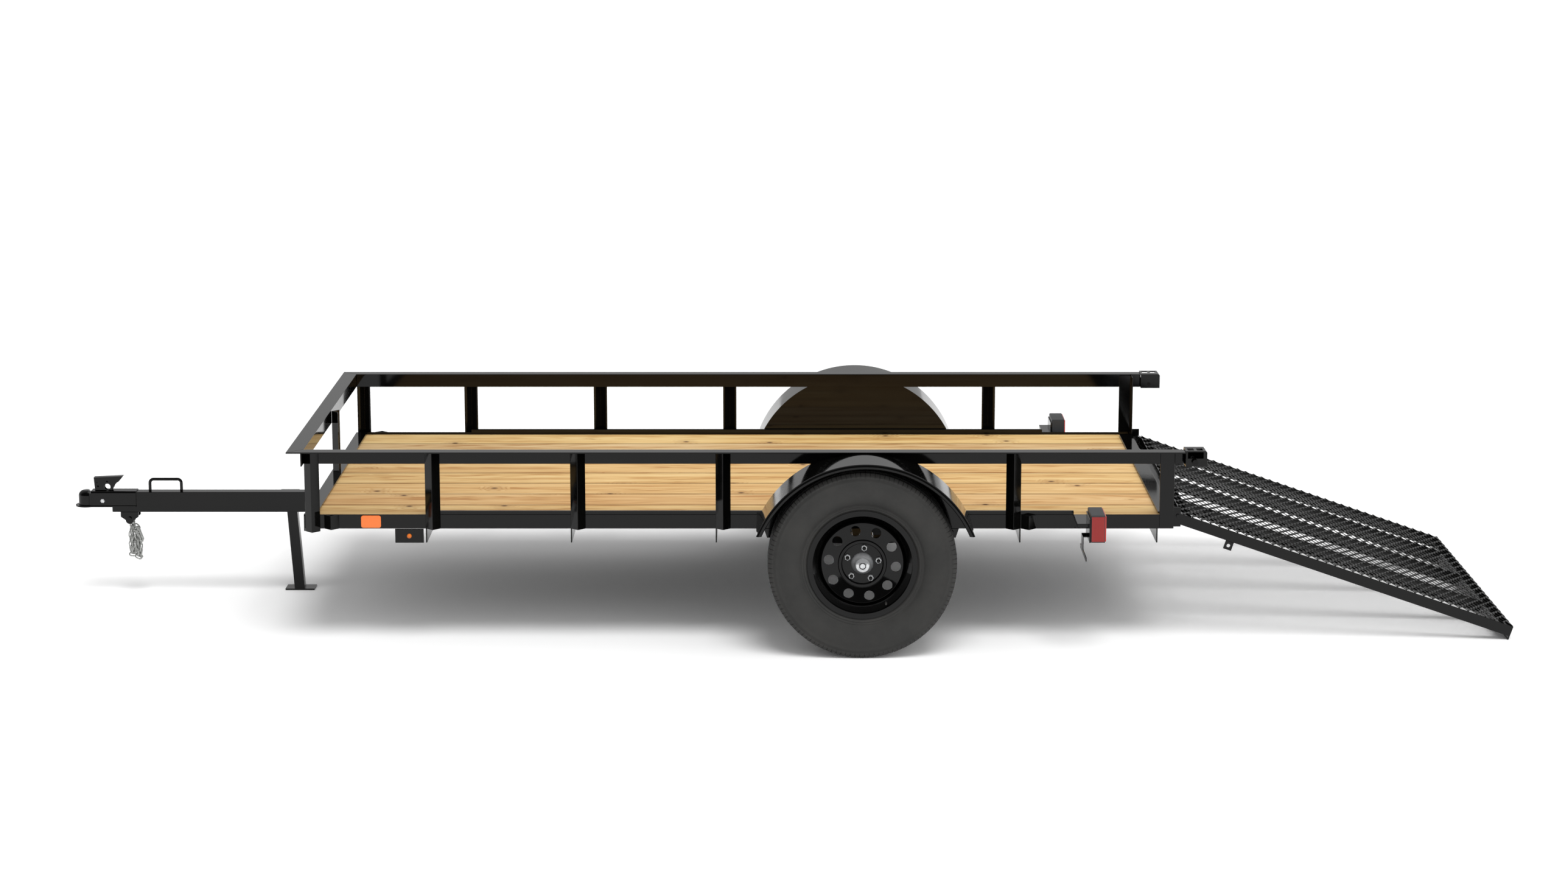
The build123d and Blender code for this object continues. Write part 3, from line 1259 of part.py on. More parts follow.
# ---------------------------------------------------------------- write the nodes
def main():
    """Write every node of the trailer."""
    for name, side in SIDES.items():
        save(f"side_rail_{name}", side_rail(side))
        save(f"top_rail_{name}", top_side_rail(side))
        save(f"side_posts_{name}", *side_posts(side))
        save(f"fender_{name}", fender(side))
        save(f"tyre_{name}", tyre(side))
        save(f"wheel_rim_{name}", wheel_rim(side))
        save(f"hub_{name}", hub(side))
        save(f"tail_lamp_{name}", tail_lamp(side))
    both = tuple(SIDES.values())
    save("front_member", front_member())
    save("rear_member", rear_member())
    save("crossmembers", *[crossmember(*row) for row in CROSSMEMBERS])
    save("deck_boards", *deck_boards())
    corners = [corner(side) for corner in (front_corner_post, rear_corner_post) for side in both]
    save("corner_posts", *corners)
    save("front_post", front_post())
    save("top_rail_front", top_front_rail())
    save("tie_down_pockets", *[tie_down_pocket(x, side) for x in POCKET_PLACES for side in both])
    save("wiring_channels", *[wiring_channel(side) for side in both])
    save("axle_beam", axle_beam())
    save("leaf_springs", *[leaf_spring(side) for side in both])
    save("spring_hangers", *[spring_hanger(side, end) for side in both for end in (-1, 1)])
    save("axle_clamps", *[axle_clamp(side) for side in both])
    save("tongue_beam", tongue_beam())
    save("tongue_saddle", tongue_saddle())
    save("coupler", coupler())
    save("coupler_latch", coupler_latch())
    save("lift_handle", lift_handle())
    save("chain_bracket", chain_bracket())
    save("safety_chains", *safety_chains())
    save("side_reflectors", *[side_reflector(side) for side in both])
    save("lamp_plates", *[lamp_plate(side) for side in both])
    save("side_lamps", *[side_lamp(side) for side in both])
    save("tail_brackets", *[tail_bracket(side) for side in both])
    save("licence_bracket", licence_bracket())
    save("hinge_brackets", *[hinge_bracket(side) for side in both])
    save("latch_boxes", *[latch_box(side) for side in both])
    save("latch_pins", *[latch_pin(side) for side in both])
    save("ramp_frame", ramp_frame())
    save("ramp_bars", *ramp_bars())
    save("ramp_mesh", ramp_mesh())
    save("ramp_tabs", *[ramp_tab(side) for side in both])
    save("leg_mount", leg_mount())
    save("parking_leg", parking_leg())


main()
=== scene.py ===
# %% [markdown]
# # Dressing a utility trailer
# The trailer's steelwork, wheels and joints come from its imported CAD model. This lesson
# loads that model as a fixed frame and gives it what CAD leaves plain: paint with a shine,
# planks with a grain, tread on the tyres, an expanded-metal ramp floor and real chain.
# Every piece stays where the CAD says, because the model also has to move and be measured.

# %% Load the frame
import json
import math

import bmesh
import bpy
from mathutils import Matrix, Vector


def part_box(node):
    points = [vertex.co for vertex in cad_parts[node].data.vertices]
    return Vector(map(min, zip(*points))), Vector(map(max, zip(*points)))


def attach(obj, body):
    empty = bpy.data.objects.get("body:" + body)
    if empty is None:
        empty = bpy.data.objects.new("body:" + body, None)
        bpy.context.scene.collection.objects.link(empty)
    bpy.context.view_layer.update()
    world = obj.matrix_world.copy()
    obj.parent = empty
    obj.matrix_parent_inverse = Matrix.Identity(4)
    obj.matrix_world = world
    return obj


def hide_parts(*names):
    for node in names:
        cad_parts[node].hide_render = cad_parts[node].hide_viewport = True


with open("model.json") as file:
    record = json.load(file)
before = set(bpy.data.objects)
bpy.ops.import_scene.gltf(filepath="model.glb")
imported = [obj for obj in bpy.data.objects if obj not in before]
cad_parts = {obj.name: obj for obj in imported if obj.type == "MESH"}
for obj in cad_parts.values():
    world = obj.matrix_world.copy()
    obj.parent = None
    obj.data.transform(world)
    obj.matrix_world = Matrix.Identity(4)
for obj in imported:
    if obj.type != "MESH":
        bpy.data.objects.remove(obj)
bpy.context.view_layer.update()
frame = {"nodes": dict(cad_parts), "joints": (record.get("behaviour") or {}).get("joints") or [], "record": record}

JOINTS = {joint["name"]: joint for joint in frame["joints"]}
SIDES = (("left", -1), ("right", 1))

# %% [markdown]
# The camera stands to the trailer's left, about three metres up, with a long lens, so that
# the far side looks hardly smaller than the near one. A camera could be aimed with a
# constraint, but plain numbers for place and pitch are easier to keep.

# %% Camera
CAMERA_PLACE = (0.0278, -12.636, 3.0575)
CAMERA_PITCH = math.radians(78.91)
FOCAL_LENGTH_MM = 79.08

camera_data = bpy.data.cameras.new("side_camera")
camera_data.sensor_width = 36.0
camera_data.lens = FOCAL_LENGTH_MM
camera = bpy.data.objects.new("side_camera", camera_data)
camera.location = CAMERA_PLACE
camera.rotation_euler = (CAMERA_PITCH, 0.0, 0.0)
bpy.context.scene.collection.objects.link(camera)
bpy.context.scene.camera = camera
bpy.context.scene.view_settings.view_transform = "Standard"
print("camera", tuple(camera.location))

# %% [markdown]
# Colours are written as sRGB hex, as a paint chart gives them, and one function turns them
# into the linear values that shaders work in. A second small function adds any node with its
# settings and its inputs: a number is set, and a socket or another node is linked.

# %% Helpers for colours and nodes
def linear(hex_colour):
    """sRGB hex to the linear RGBA that Blender's shaders use."""
    channels = [int(hex_colour[place:place + 2], 16) / 255 for place in (1, 3, 5)]
    return tuple(c / 12.92 if c <= 0.04045 else ((c + 0.055) / 1.055) ** 2.4 for c in channels) + (1.0,)


def add(tree, kind, inputs=None, stops=None, **settings):
    """Add one node. Settings are its properties, stops fill a colour ramp, and an input is a
    value, a socket, or a node, which stands for its first output."""
    node = tree.nodes.new(kind)
    for name, value in settings.items():
        setattr(node, name, value)
    for index, (place, colour) in enumerate(stops or []):
        stop = node.color_ramp.elements[index] if index < 2 else node.color_ramp.elements.new(place)
        stop.position = place
        stop.color = linear(colour)
    for name, value in (inputs or {}).items():
        if isinstance(value, bpy.types.Node):
            value = value.outputs[0]
        if isinstance(value, bpy.types.NodeSocket):
            tree.links.new(value, node.inputs[name])
        else:
            node.inputs[name].default_value = value
    return node


def new_material(name):
    """An empty node material; the caller adds its nodes and an output."""
    material = bpy.data.materials.new(name)
    material.use_nodes = True
    material.node_tree.nodes.clear()
    return material, material.node_tree


print("black", [round(c, 4) for c in linear("#0B0B0B")])

# %% [markdown]
# A studio with white walls lights the trailer from all round. The world is that room: it is
# white where the camera sees it. As a light it is dim, and brighter toward the near side and
# the ramp's end, where the big lamps stand, and a broad soft lamp hangs overhead. So the bed's
# shadow is dark below its far side and fades on the near side. Reflections see the walls at
# less than half their brightness, as in a room whose white floor is lit more than its walls,
# and one side of the room nearly black, as where it opens to the dark. So flanges that face
# up stay grey, and what leans to the dark side turns black. Many lamps could do the same, but
# a world has no edges that would show in the gloss paint.

# %% White room and soft top light
FAR_LIGHT, NEAR_LIGHT, RAMP_END_LIGHT = 0.3, 1.02, 1.0
DARK_WALL, LIT_WALL = 0.05, 0.45
DARK_BEFORE, LIT_AFTER = -0.35, 0.05   # how far a mirrored ray leans along Y
LAMP_ENERGY = 1.37
LAMP_ANGLE = math.radians(28)
LAMP_TURN = (math.radians(25), math.radians(8), 0.0)

world = bpy.data.worlds.new("white_room")
bpy.context.scene.world = world
world.use_nodes = True
room = world.node_tree
room.nodes.clear()
ray = add(room, "ShaderNodeLightPath").outputs
seen = add(room, "ShaderNodeMath", {
    0: ray["Is Camera Ray"], 1: ray["Is Transmission Ray"]}, operation="MAXIMUM")
way = add(room, "ShaderNodeSeparateXYZ", {0: add(room, "ShaderNodeTexCoord").outputs["Generated"]}).outputs
near = add(room, "ShaderNodeMapRange", {0: way["Y"], 1: 0.0, 2: -1.0, 3: FAR_LIGHT, 4: NEAR_LIGHT})
rear = add(room, "ShaderNodeMapRange", {0: way["X"], 1: 0.0, 2: 1.0, 3: 0.0, 4: RAMP_END_LIGHT})
lamps = add(room, "ShaderNodeMath", {0: near, 1: rear}, operation="ADD")
walls = add(room, "ShaderNodeMapRange", {
    0: way["Y"], 1: DARK_BEFORE, 2: LIT_AFTER, 3: DARK_WALL, 4: LIT_WALL})
light, mirrored, white = [
    add(room, "ShaderNodeBackground", {"Color": linear("#FFFFFF"), "Strength": strength})
    for strength in (lamps, walls, 1.0)]
mixed = add(room, "ShaderNodeMixShader", {0: ray["Is Glossy Ray"], 1: light, 2: mirrored})
mixed = add(room, "ShaderNodeMixShader", {0: seen, 1: mixed, 2: white})
add(room, "ShaderNodeOutputWorld", {"Surface": mixed})

top_light = bpy.data.lights.new("soft_top_light", "SUN")
top_light.energy = LAMP_ENERGY
top_light.angle = LAMP_ANGLE
top_lamp = bpy.data.objects.new("soft_top_light", top_light)
top_lamp.rotation_euler = LAMP_TURN
top_lamp.visible_glossy = False   # a lamp this broad would be a disc in the gloss paint
bpy.context.scene.collection.objects.link(top_lamp)

# %% [markdown]
# The floor is a white paper sweep. The camera sees it a little brighter than white, so that
# it meets the background without a line and only the trailer's soft shadow is left on it.
# Reflections see it slightly darker, and light that bounces from it sees it as light grey,
# so that it doesn't light the trailer's underside too much.

# %% Floor
PAPER_SEEN = (1.2, 1.2, 1.2, 1.0)
PAPER_MIRRORED = (0.92, 0.92, 0.92, 1.0)
FLOOR_CORNERS = [(-40, -40, 0), (40, -40, 0), (40, 60, 0), (-40, 60, 0)]

paper, tree = new_material("white_paper_floor")
ray = add(tree, "ShaderNodeLightPath").outputs
seen = add(tree, "ShaderNodeMath", {
    0: ray["Is Camera Ray"], 1: ray["Is Transmission Ray"]}, operation="MAXIMUM")
tone = add(tree, "ShaderNodeMix", {
    0: ray["Is Glossy Ray"], 6: linear("#9A9A9A"), 7: PAPER_MIRRORED}, data_type="RGBA")
tone = add(tree, "ShaderNodeMix", {0: seen, 6: tone.outputs[2], 7: PAPER_SEEN}, data_type="RGBA")
sheet = add(tree, "ShaderNodeBsdfDiffuse", {"Color": tone.outputs[2]})
add(tree, "ShaderNodeOutputMaterial", {"Surface": sheet})

floor_mesh = bpy.data.meshes.new("floor")
floor_mesh.from_pydata(FLOOR_CORNERS, [], [(0, 1, 2, 3)])
floor_mesh.materials.append(paper)
floor = bpy.data.objects.new("floor", floor_mesh)
bpy.context.scene.collection.objects.link(floor)
print("floor", floor.dimensions[:2])

# %% [markdown]
# Nearly all of the trailer is hot-rolled angle and pressed sheet under one coat of gloss
# black enamel. What the eye gets from it is the shine, not the black: faces that look at the
# camera mirror the white room faintly and flanges seen edge-on mirror it strongly. A dark
# base with a low roughness does that on its own; a fine noise gives the coat its slight
# orange peel and a slow one its duller patches. The wheel's disc is pressed like a shallow
# bowl. The CAD's disc is plainer, so a second bump leans its face outward past the hub ring.

# %% Gloss black enamel on steel
ENAMEL_IOR = 1.39           # enamel has about 1.5; less tones the mirrored room down
PATCHES_PER_METRE = 3.5
DISH_FROM, DISH_TO = 0.0860, 0.1420   # radii between which the disc rises, in metres
DISH_RISE = 0.024


def enamel(name, colour, dull_colour, gloss, dull, peel_mm, peel_depth_mm, relief=None):
    """Sprayed enamel: two near colours, two roughnesses, orange peel, and the metal's own relief."""
    material, tree = new_material(name)
    place = add(tree, "ShaderNodeTexCoord").outputs["Object"]
    cloud = add(tree, "ShaderNodeTexNoise", {"Vector": place, "Scale": PATCHES_PER_METRE, "Detail": 5.0})
    peel = add(tree, "ShaderNodeTexNoise", {"Vector": place, "Scale": 1000 / peel_mm, "Detail": 2.0})
    spread = add(tree, "ShaderNodeMapRange", {0: cloud, 1: 0.35, 2: 0.65, 3: 0.0, 4: 1.0})
    tone = add(tree, "ShaderNodeMix", {
        0: spread, 6: linear(colour), 7: linear(dull_colour)}, data_type="RGBA")
    rough = add(tree, "ShaderNodeMapRange", {0: spread, 1: 0.0, 2: 1.0, 3: gloss, 4: dull})
    bump = add(tree, "ShaderNodeBump", {"Height": peel, "Strength": 1.0, "Distance": peel_depth_mm / 1000})
    if relief:
        shape = add(tree, "ShaderNodeBump", {"Height": relief(tree, place), "Strength": 1.0, "Distance": 1.0})
        tree.links.new(shape.outputs["Normal"], bump.inputs["Normal"])
    coat = add(tree, "ShaderNodeBsdfPrincipled", {
        "Base Color": tone.outputs[2], "Roughness": rough, "IOR": ENAMEL_IOR, "Normal": bump})
    add(tree, "ShaderNodeOutputMaterial", {"Surface": coat})
    return material


def dished(tree, place):
    """Height of the wheel's disc, in metres: it rises outward past its hub ring."""
    axle = Vector(JOINTS["wheel_left_spin"]["pos_m"])
    away = add(tree, "ShaderNodeVectorMath", {0: place, 1: (axle.x, 0.0, axle.z)}, operation="SUBTRACT")
    away = add(tree, "ShaderNodeVectorMath", {0: away, 1: (1.0, 0.0, 1.0)}, operation="MULTIPLY")
    radius = add(tree, "ShaderNodeVectorMath", {0: away}, operation="LENGTH").outputs["Value"]
    return add(tree, "ShaderNodeMapRange", {0: radius, 1: DISH_FROM, 2: DISH_TO, 3: 0.0, 4: DISH_RISE})


black_enamel = enamel("gloss_black_enamel", "#050505", "#080807", 0.05, 0.10, 14.0, 0.006)
wheel_enamel = enamel("wheel_black_enamel", "#040404", "#070707", 0.06, 0.12, 10.0, 0.004, dished)
mesh_enamel = enamel("ramp_mesh_enamel", "#060606", "#0A0A09", 0.25, 0.4, 5.0, 0.05)
spring_enamel = enamel("spring_black_enamel", "#0A0A0A", "#141312", 0.35, 0.55, 4.0, 0.12)
print("enamels", black_enamel.name, wheel_enamel.name, mesh_enamel.name, spring_enamel.name)

# %% [markdown]
# The planks are planed pine. A tree's rings are cylinders round its pith, and a plank is a
# straight cut past them, so the grain is drawn the same way: each plank carries its own
# place in the tree as an attribute, and the distance from the pith gives the rings. A tilt
# along the plank turns the lines to long arches, and knots push the rings aside.

# %% Planed pine
KNOT_CELL = (0.42, 0.125, 0.0)            # metres along and across a plank
KNOT_CELLS_PER_METRE = (2.4, 8.0, 0.0)
KNOTLESS_SHARE = 0.55                     # of the cells
KNOT_CORE = (0.005, 0.015, 0.9)           # radius where it starts to fade, radius of its end, strength
KNOT_HALO = (0.0, 0.06, 1.0)
RING_PITCH = 0.006
PITH_TILT, RING_WANDER, KNOT_PUSH = 0.016, 0.05, 0.022
# noises drawn out along the grain: their scale each way, per metre, and detail. The fibres
# are 3 mm apart, about three times coarser than real, so that they show.
STREAKS = {
    "bend": ((1.1, 14.0, 14.0), 3.0),
    "fibre": ((9.0, 330.0, 330.0), 4.0),
    "stain": ((1.6, 22.0, 22.0), 2.0),
}
# painted shade along each plank's edges, where the planks meet: how far in it reaches and how dark it is
ARRIS_WIDTH, ARRIS_SHADE = 0.008, 0.6
# the planks darken toward the bed's front end: where the darkening starts and ends, and its tone
FRONT_DARKENING_FROM, FRONT_DARKENING_TO, FRONT_DARKENING_TONE = -1.6, -0.6, 0.8   # places along the bed, and the tone at its front

pine, tree = new_material("planed_pine")
grain = add(tree, "ShaderNodeAttribute", attribute_name="grain").outputs["Vector"]
seed = add(tree, "ShaderNodeAttribute", attribute_name="plank_seed").outputs["Fac"]
along = add(tree, "ShaderNodeSeparateXYZ", {0: grain})
# knots: cells along the plank, and in some of them one round knot
cells = add(tree, "ShaderNodeMapping", {"Vector": grain, "Scale": KNOT_CELLS_PER_METRE})
knot = add(tree, "ShaderNodeTexVoronoi", {
    "Vector": cells, "Scale": 1.0, "Randomness": 0.9}, voronoi_dimensions="3D")
centre = add(tree, "ShaderNodeVectorMath", {0: cells, 1: knot.outputs["Position"]}, operation="SUBTRACT")
centre = add(tree, "ShaderNodeMapping", {"Vector": centre, "Scale": KNOT_CELL})
from_knot = add(tree, "ShaderNodeVectorMath", {0: centre}, operation="LENGTH").outputs["Value"]
pick = add(tree, "ShaderNodeSeparateColor", {0: knot.outputs["Color"]})
is_knot = add(tree, "ShaderNodeMath", {0: pick, 1: KNOTLESS_SHARE}, operation="GREATER_THAN")
fades = [add(tree, "ShaderNodeMapRange", {0: from_knot, 1: full, 2: gone, 3: strength, 4: 0.0})
         for full, gone, strength in (KNOT_CORE, KNOT_HALO)]
core, halo = [add(tree, "ShaderNodeMath", {0: fade, 1: is_knot}, operation="MULTIPLY") for fade in fades]
streak = {}
for label, (stretch, detail) in STREAKS.items():
    drawn_out = add(tree, "ShaderNodeMapping", {"Vector": grain, "Scale": stretch})
    streak[label] = add(tree, "ShaderNodeTexNoise", {"Vector": drawn_out, "Scale": 1.0, "Detail": detail})
# rings: the distance from the pith, tilted, bent by a slow noise and pushed aside by knots
pith = add(tree, "ShaderNodeMapping", {"Vector": grain, "Scale": (0.0, 1.0, 1.0)})
bent = add(tree, "ShaderNodeVectorMath", {0: pith}, operation="LENGTH").outputs["Value"]
for cause, amount in ((along, PITH_TILT), (streak["bend"], RING_WANDER), (halo, KNOT_PUSH)):
    bent = add(tree, "ShaderNodeMath", {0: cause, 1: amount, 2: bent}, operation="MULTIPLY_ADD")
phase = add(tree, "ShaderNodeMath", {0: bent, 1: 2 * math.pi / RING_PITCH}, operation="MULTIPLY")
wave = add(tree, "ShaderNodeMath", {0: phase}, operation="SINE")
late = add(tree, "ShaderNodeMapRange", {0: wave, 1: -0.2, 2: 1.0, 3: 0.0, 4: 1.0})
blend = streak["stain"]
for part, amount in ((late, 0.22), (streak["fibre"], 0.3)):
    blend = add(tree, "ShaderNodeMath", {0: part, 1: amount, 2: blend}, operation="MULTIPLY_ADD")
wood = add(tree, "ShaderNodeValToRGB", {0: blend}, stops=[
    (0.42, "#FBE6C0"), (1.0, "#C89B6A"), (0.62, "#F3D9AE"), (0.82, "#E6C595")])
tint = add(tree, "ShaderNodeValToRGB", {0: seed}, stops=[
    (0.0, "#E6DCCB"), (1.0, "#FFF3CC"), (0.4, "#F1E3CC"), (0.75, "#F6DFBE")])
tone = add(tree, "ShaderNodeMix", {0: 0.9, 6: wood, 7: tint}, data_type="RGBA", blend_type="MULTIPLY")
# three marks over it: a stain round a knot, a stain in its core, and painted shade along the arrises, where the
# planks meet
ringed = add(tree, "ShaderNodeMath", {0: halo, 1: 0.4}, operation="MULTIPLY")
beside = add(tree, "ShaderNodeAttribute", attribute_name="across").outputs["Fac"]
arris = add(tree, "ShaderNodeMapRange", {
    0: beside, 1: 0.0, 2: ARRIS_WIDTH, 3: ARRIS_SHADE, 4: 0.0}, interpolation_type="SMOOTHSTEP")
for share, colour in ((ringed, "#A9794C"), (core, "#5F3F27"), (arris, "#3A2A1C")):
    tone = add(tree, "ShaderNodeMix", {0: share, 6: tone.outputs[2], 7: linear(colour)}, data_type="RGBA")
# the planks are a little darker toward the bed's front end
lengthways = add(tree, "ShaderNodeSeparateXYZ", {0: add(tree, "ShaderNodeTexCoord").outputs["Object"]})
front_darkening = add(tree, "ShaderNodeMapRange", {0: lengthways, 1: FRONT_DARKENING_FROM, 2: FRONT_DARKENING_TO, 3: FRONT_DARKENING_TONE, 4: 1.0})
front_darkening = add(tree, "ShaderNodeCombineColor", {0: front_darkening, 1: front_darkening, 2: front_darkening})
tone = add(tree, "ShaderNodeMix", {
    0: 1.0, 6: tone.outputs[2], 7: front_darkening}, data_type="RGBA", blend_type="MULTIPLY")
# light that bounces off the planks stays neutral, so that the shadow under the bed is grey
bounced = add(tree, "ShaderNodeLightPath").outputs["Is Diffuse Ray"]
tone = add(tree, "ShaderNodeMix", {0: bounced, 6: tone.outputs[2], 7: linear("#A0A0A0")}, data_type="RGBA")
bump = add(tree, "ShaderNodeBump", {"Height": streak["fibre"], "Strength": 0.5, "Distance": 0.0004})
plank = add(tree, "ShaderNodeBsdfPrincipled", {
    "Base Color": tone.outputs[2], "Roughness": 0.68, "IOR": 1.4, "Normal": bump})
add(tree, "ShaderNodeOutputMaterial", {"Surface": plank})
print("pine nodes", len(tree.nodes))

# %% [markdown]
# Tyre rubber is a soft black with a grey bloom. It has a broad, weak shine, so its roughness
# is high, and the bloom is a slow noise that lightens it here and there.

# %% Tyre rubber
rubber, tree = new_material("moulded_tyre_rubber")
place = add(tree, "ShaderNodeTexCoord").outputs["Object"]
bloom = add(tree, "ShaderNodeTexNoise", {"Vector": place, "Scale": 7.0, "Detail": 6.0, "Roughness": 0.6})
grit = add(tree, "ShaderNodeTexNoise", {"Vector": place, "Scale": 420.0, "Detail": 3.0})
tone = add(tree, "ShaderNodeValToRGB", {0: bloom}, stops=[(0.3, "#353534"), (0.75, "#42413F")])
bump = add(tree, "ShaderNodeBump", {"Height": grit, "Strength": 0.6, "Distance": 0.0003})
skin = add(tree, "ShaderNodeBsdfPrincipled", {
    "Base Color": tone, "Roughness": 0.62, "IOR": 1.45, "Normal": bump})
add(tree, "ShaderNodeOutputMaterial", {"Surface": skin})
print("rubber", rubber.name)

# %% [markdown]
# Bolts, nuts and dust caps are steel with a bright zinc plate, and the chain is galvanised,
# which is zinc too but thicker and duller, with a faint patchwork of crystals.

# %% Zinc finishes
def zinc(name, bright, dim, gloss, dull, crystal_mm, metal_share):
    """Zinc on steel, in patches of slightly different grey and shine. A duller coat mirrors less."""
    material, tree = new_material(name)
    place = add(tree, "ShaderNodeTexCoord").outputs["Object"]
    patch = add(tree, "ShaderNodeTexVoronoi", {"Vector": place, "Scale": 1000 / crystal_mm})
    part = add(tree, "ShaderNodeSeparateColor", {0: patch.outputs["Color"]})
    tone = add(tree, "ShaderNodeMix", {0: part, 6: linear(bright), 7: linear(dim)}, data_type="RGBA")
    rough = add(tree, "ShaderNodeMapRange", {0: part, 1: 0.0, 2: 1.0, 3: gloss, 4: dull})
    metal = add(tree, "ShaderNodeBsdfPrincipled", {
        "Base Color": tone.outputs[2], "Roughness": rough, "Metallic": metal_share})
    add(tree, "ShaderNodeOutputMaterial", {"Surface": metal})
    return material


bright_zinc = zinc("bright_zinc_plate", "#F0F1F2", "#DCDEE0", 0.16, 0.26, 6.0, 0.7)
galvanised = zinc("galvanised_chain_steel", "#DCDDDA", "#A9ABA8", 0.25, 0.4, 3.0, 0.55)
print("zinc", bright_zinc.name, galvanised.name)

# %% [markdown]
# Lenses and reflectors are clear coloured acrylic over a moulded prism pattern. The light
# that comes back from the prisms makes them look evenly coloured, so they are drawn as
# coloured plastic under a smooth coat, with the prism cells as a bump under it and a faint
# painted glow for the light that the prisms send back. The lamps' housings are dark grey
# plastic with the fine grain of a spark-eroded mould.

# %% Coloured acrylic and housing plastic
def acrylic(name, bright, deep, cell_mm, painted_glow_colour, painted_glow_strength):
    """Moulded acrylic with small prism cells under a smooth face, and a painted glow for the light that the prisms
    send back.
    """
    material, tree = new_material(name)
    place = add(tree, "ShaderNodeTexCoord").outputs["Object"]
    cell = add(tree, "ShaderNodeTexVoronoi", {"Vector": place, "Scale": 1000 / cell_mm, "Randomness": 0.15})
    tone = add(tree, "ShaderNodeMix", {0: cell, 6: linear(bright), 7: linear(deep)}, data_type="RGBA")
    bump = add(tree, "ShaderNodeBump", {"Height": cell, "Strength": 0.35, "Distance": 0.001})
    # the emission is a painted glow that stands in for the light the prisms send back
    body = add(tree, "ShaderNodeBsdfPrincipled", {
        "Base Color": tone.outputs[2], "Roughness": 0.28, "IOR": 1.49, "Coat Weight": 0.4,
        "Coat Roughness": 0.05, "Emission Color": linear(painted_glow_colour), "Emission Strength": painted_glow_strength,
        "Normal": bump})
    add(tree, "ShaderNodeOutputMaterial", {"Surface": body})
    return material


orange_acrylic = acrylic("orange_reflector_acrylic", "#FF8C4A", "#F27636", 3.0, "#FF7C00", 0.2)
amber_acrylic = acrylic("amber_lamp_acrylic", "#F0872F", "#C9601E", 2.5, "#FF7A10", 0.12)
red_acrylic = acrylic("red_lamp_acrylic", "#A81C18", "#861410", 3.5, "#FF2010", 0.04)
# the rear lenses: the same red acrylic in a lighter red with more glow, as painted light
rear_red_acrylic_painted_lighter = acrylic("red_reflex_acrylic", "#CC3834", "#AE2822", 3.5, "#FF3020", 0.06)

housing, tree = new_material("grey_black_lamp_housing")
place = add(tree, "ShaderNodeTexCoord").outputs["Object"]
spark = add(tree, "ShaderNodeTexNoise", {"Vector": place, "Scale": 500.0, "Detail": 2.0})
tone = add(tree, "ShaderNodeMix", {0: spark, 6: linear("#38393B"), 7: linear("#46484A")}, data_type="RGBA")
bump = add(tree, "ShaderNodeBump", {"Height": spark, "Strength": 0.4, "Distance": 0.0003})
shell = add(tree, "ShaderNodeBsdfPrincipled", {
    "Base Color": tone.outputs[2], "Roughness": 0.45, "IOR": 1.5, "Normal": bump})
add(tree, "ShaderNodeOutputMaterial", {"Surface": shell})
print("acrylics", orange_acrylic.name, amber_acrylic.name, red_acrylic.name, housing.name)

# %% [markdown]
# Each CAD node belongs to one of these finishes. A node keeps its shape and only gets the
# finish in its material slots, so the steelwork needs no modelling here. The latch pins are
# painted over with the dark enamel of the springs, whatever their slot says.

# %% Finishes for the CAD nodes
FINISHES = {
    "black_paint": black_enamel, "deck_wood": pine, "tyre_rubber": rubber, "wheel_paint": wheel_enamel,
    "bright_zinc": bright_zinc, "spring_steel": spring_enamel, "orange_reflector": orange_acrylic,
    "amber_lens": amber_acrylic, "red_lens": red_acrylic, "mesh_paint": mesh_enamel,
}
SLOT_OF = {row["node"]: row["material_slot"] for row in frame["record"]["subparts"]}
for node, slot in SLOT_OF.items():
    mesh = frame["nodes"][node].data
    mesh.materials.clear()
    mesh.materials.append(spring_enamel if node == "latch_pins" else FINISHES[slot])
print("finished", len(SLOT_OF), "nodes")

# %% [markdown]
# The pieces that repeat are grown by geometry nodes: one small shape goes in, the tree
# repeats it, and the result is kept as a plain mesh, because the exported model can't hold
# instances. The helpers below open and close such a tree, run it, and show what it makes.

# %% Helpers for pieces
def show(name, mesh, material, body, stands_for=()):
    """Put a finished mesh in the scene at the origin, riding on its CAD body."""
    piece = bpy.data.objects.new(name, mesh)
    bpy.context.scene.collection.objects.link(piece)
    if material:
        mesh.materials.clear()
        mesh.materials.append(material)
    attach(piece, body)
    if stands_for:
        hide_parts(*stands_for)
    return piece


def applied(mesh, name, kind, inputs=None, **settings):
    """The plain mesh that a modifier makes of a mesh. A node tree's inputs go by their identifiers."""
    holder = bpy.data.objects.new("holder", mesh)
    bpy.context.scene.collection.objects.link(holder)
    modifier = holder.modifiers.new(name, kind)
    for setting, value in settings.items():
        setattr(modifier, setting, value)
    for identifier, value in (inputs or {}).items():
        modifier[identifier] = value
    bpy.context.view_layer.update()
    plain = bpy.data.meshes.new_from_object(holder.evaluated_get(bpy.context.evaluated_depsgraph_get()))
    holder.modifiers.remove(modifier)
    bpy.data.objects.remove(holder)
    return plain


def grow(tree, sizes, seed_mesh=None):
    """Run a geometry node tree once, on seed_mesh if there is one, and return the plain mesh it makes."""
    inputs = {item.identifier: sizes[item.name] for item in tree.interface.items_tree if item.name in sizes}
    return applied(seed_mesh or bpy.data.meshes.new("holder"), "grow", "NODES", inputs, node_group=tree)


def new_tree(name, sizes):
    """A geometry node tree with a geometry, named sizes as (name, socket type, value), and a finish."""
    tree = bpy.data.node_groups.new(name, "GeometryNodeTree")
    for way in ("INPUT", "OUTPUT"):
        tree.interface.new_socket("Geometry", in_out=way, socket_type="NodeSocketGeometry")
    for label, kind, value in [*sizes, ("Finish", "Material", None)]:
        socket = tree.interface.new_socket(label, in_out="INPUT", socket_type=f"NodeSocket{kind}")
        if value is not None:
            socket.default_value = value
    return tree, add(tree, "NodeGroupInput").outputs


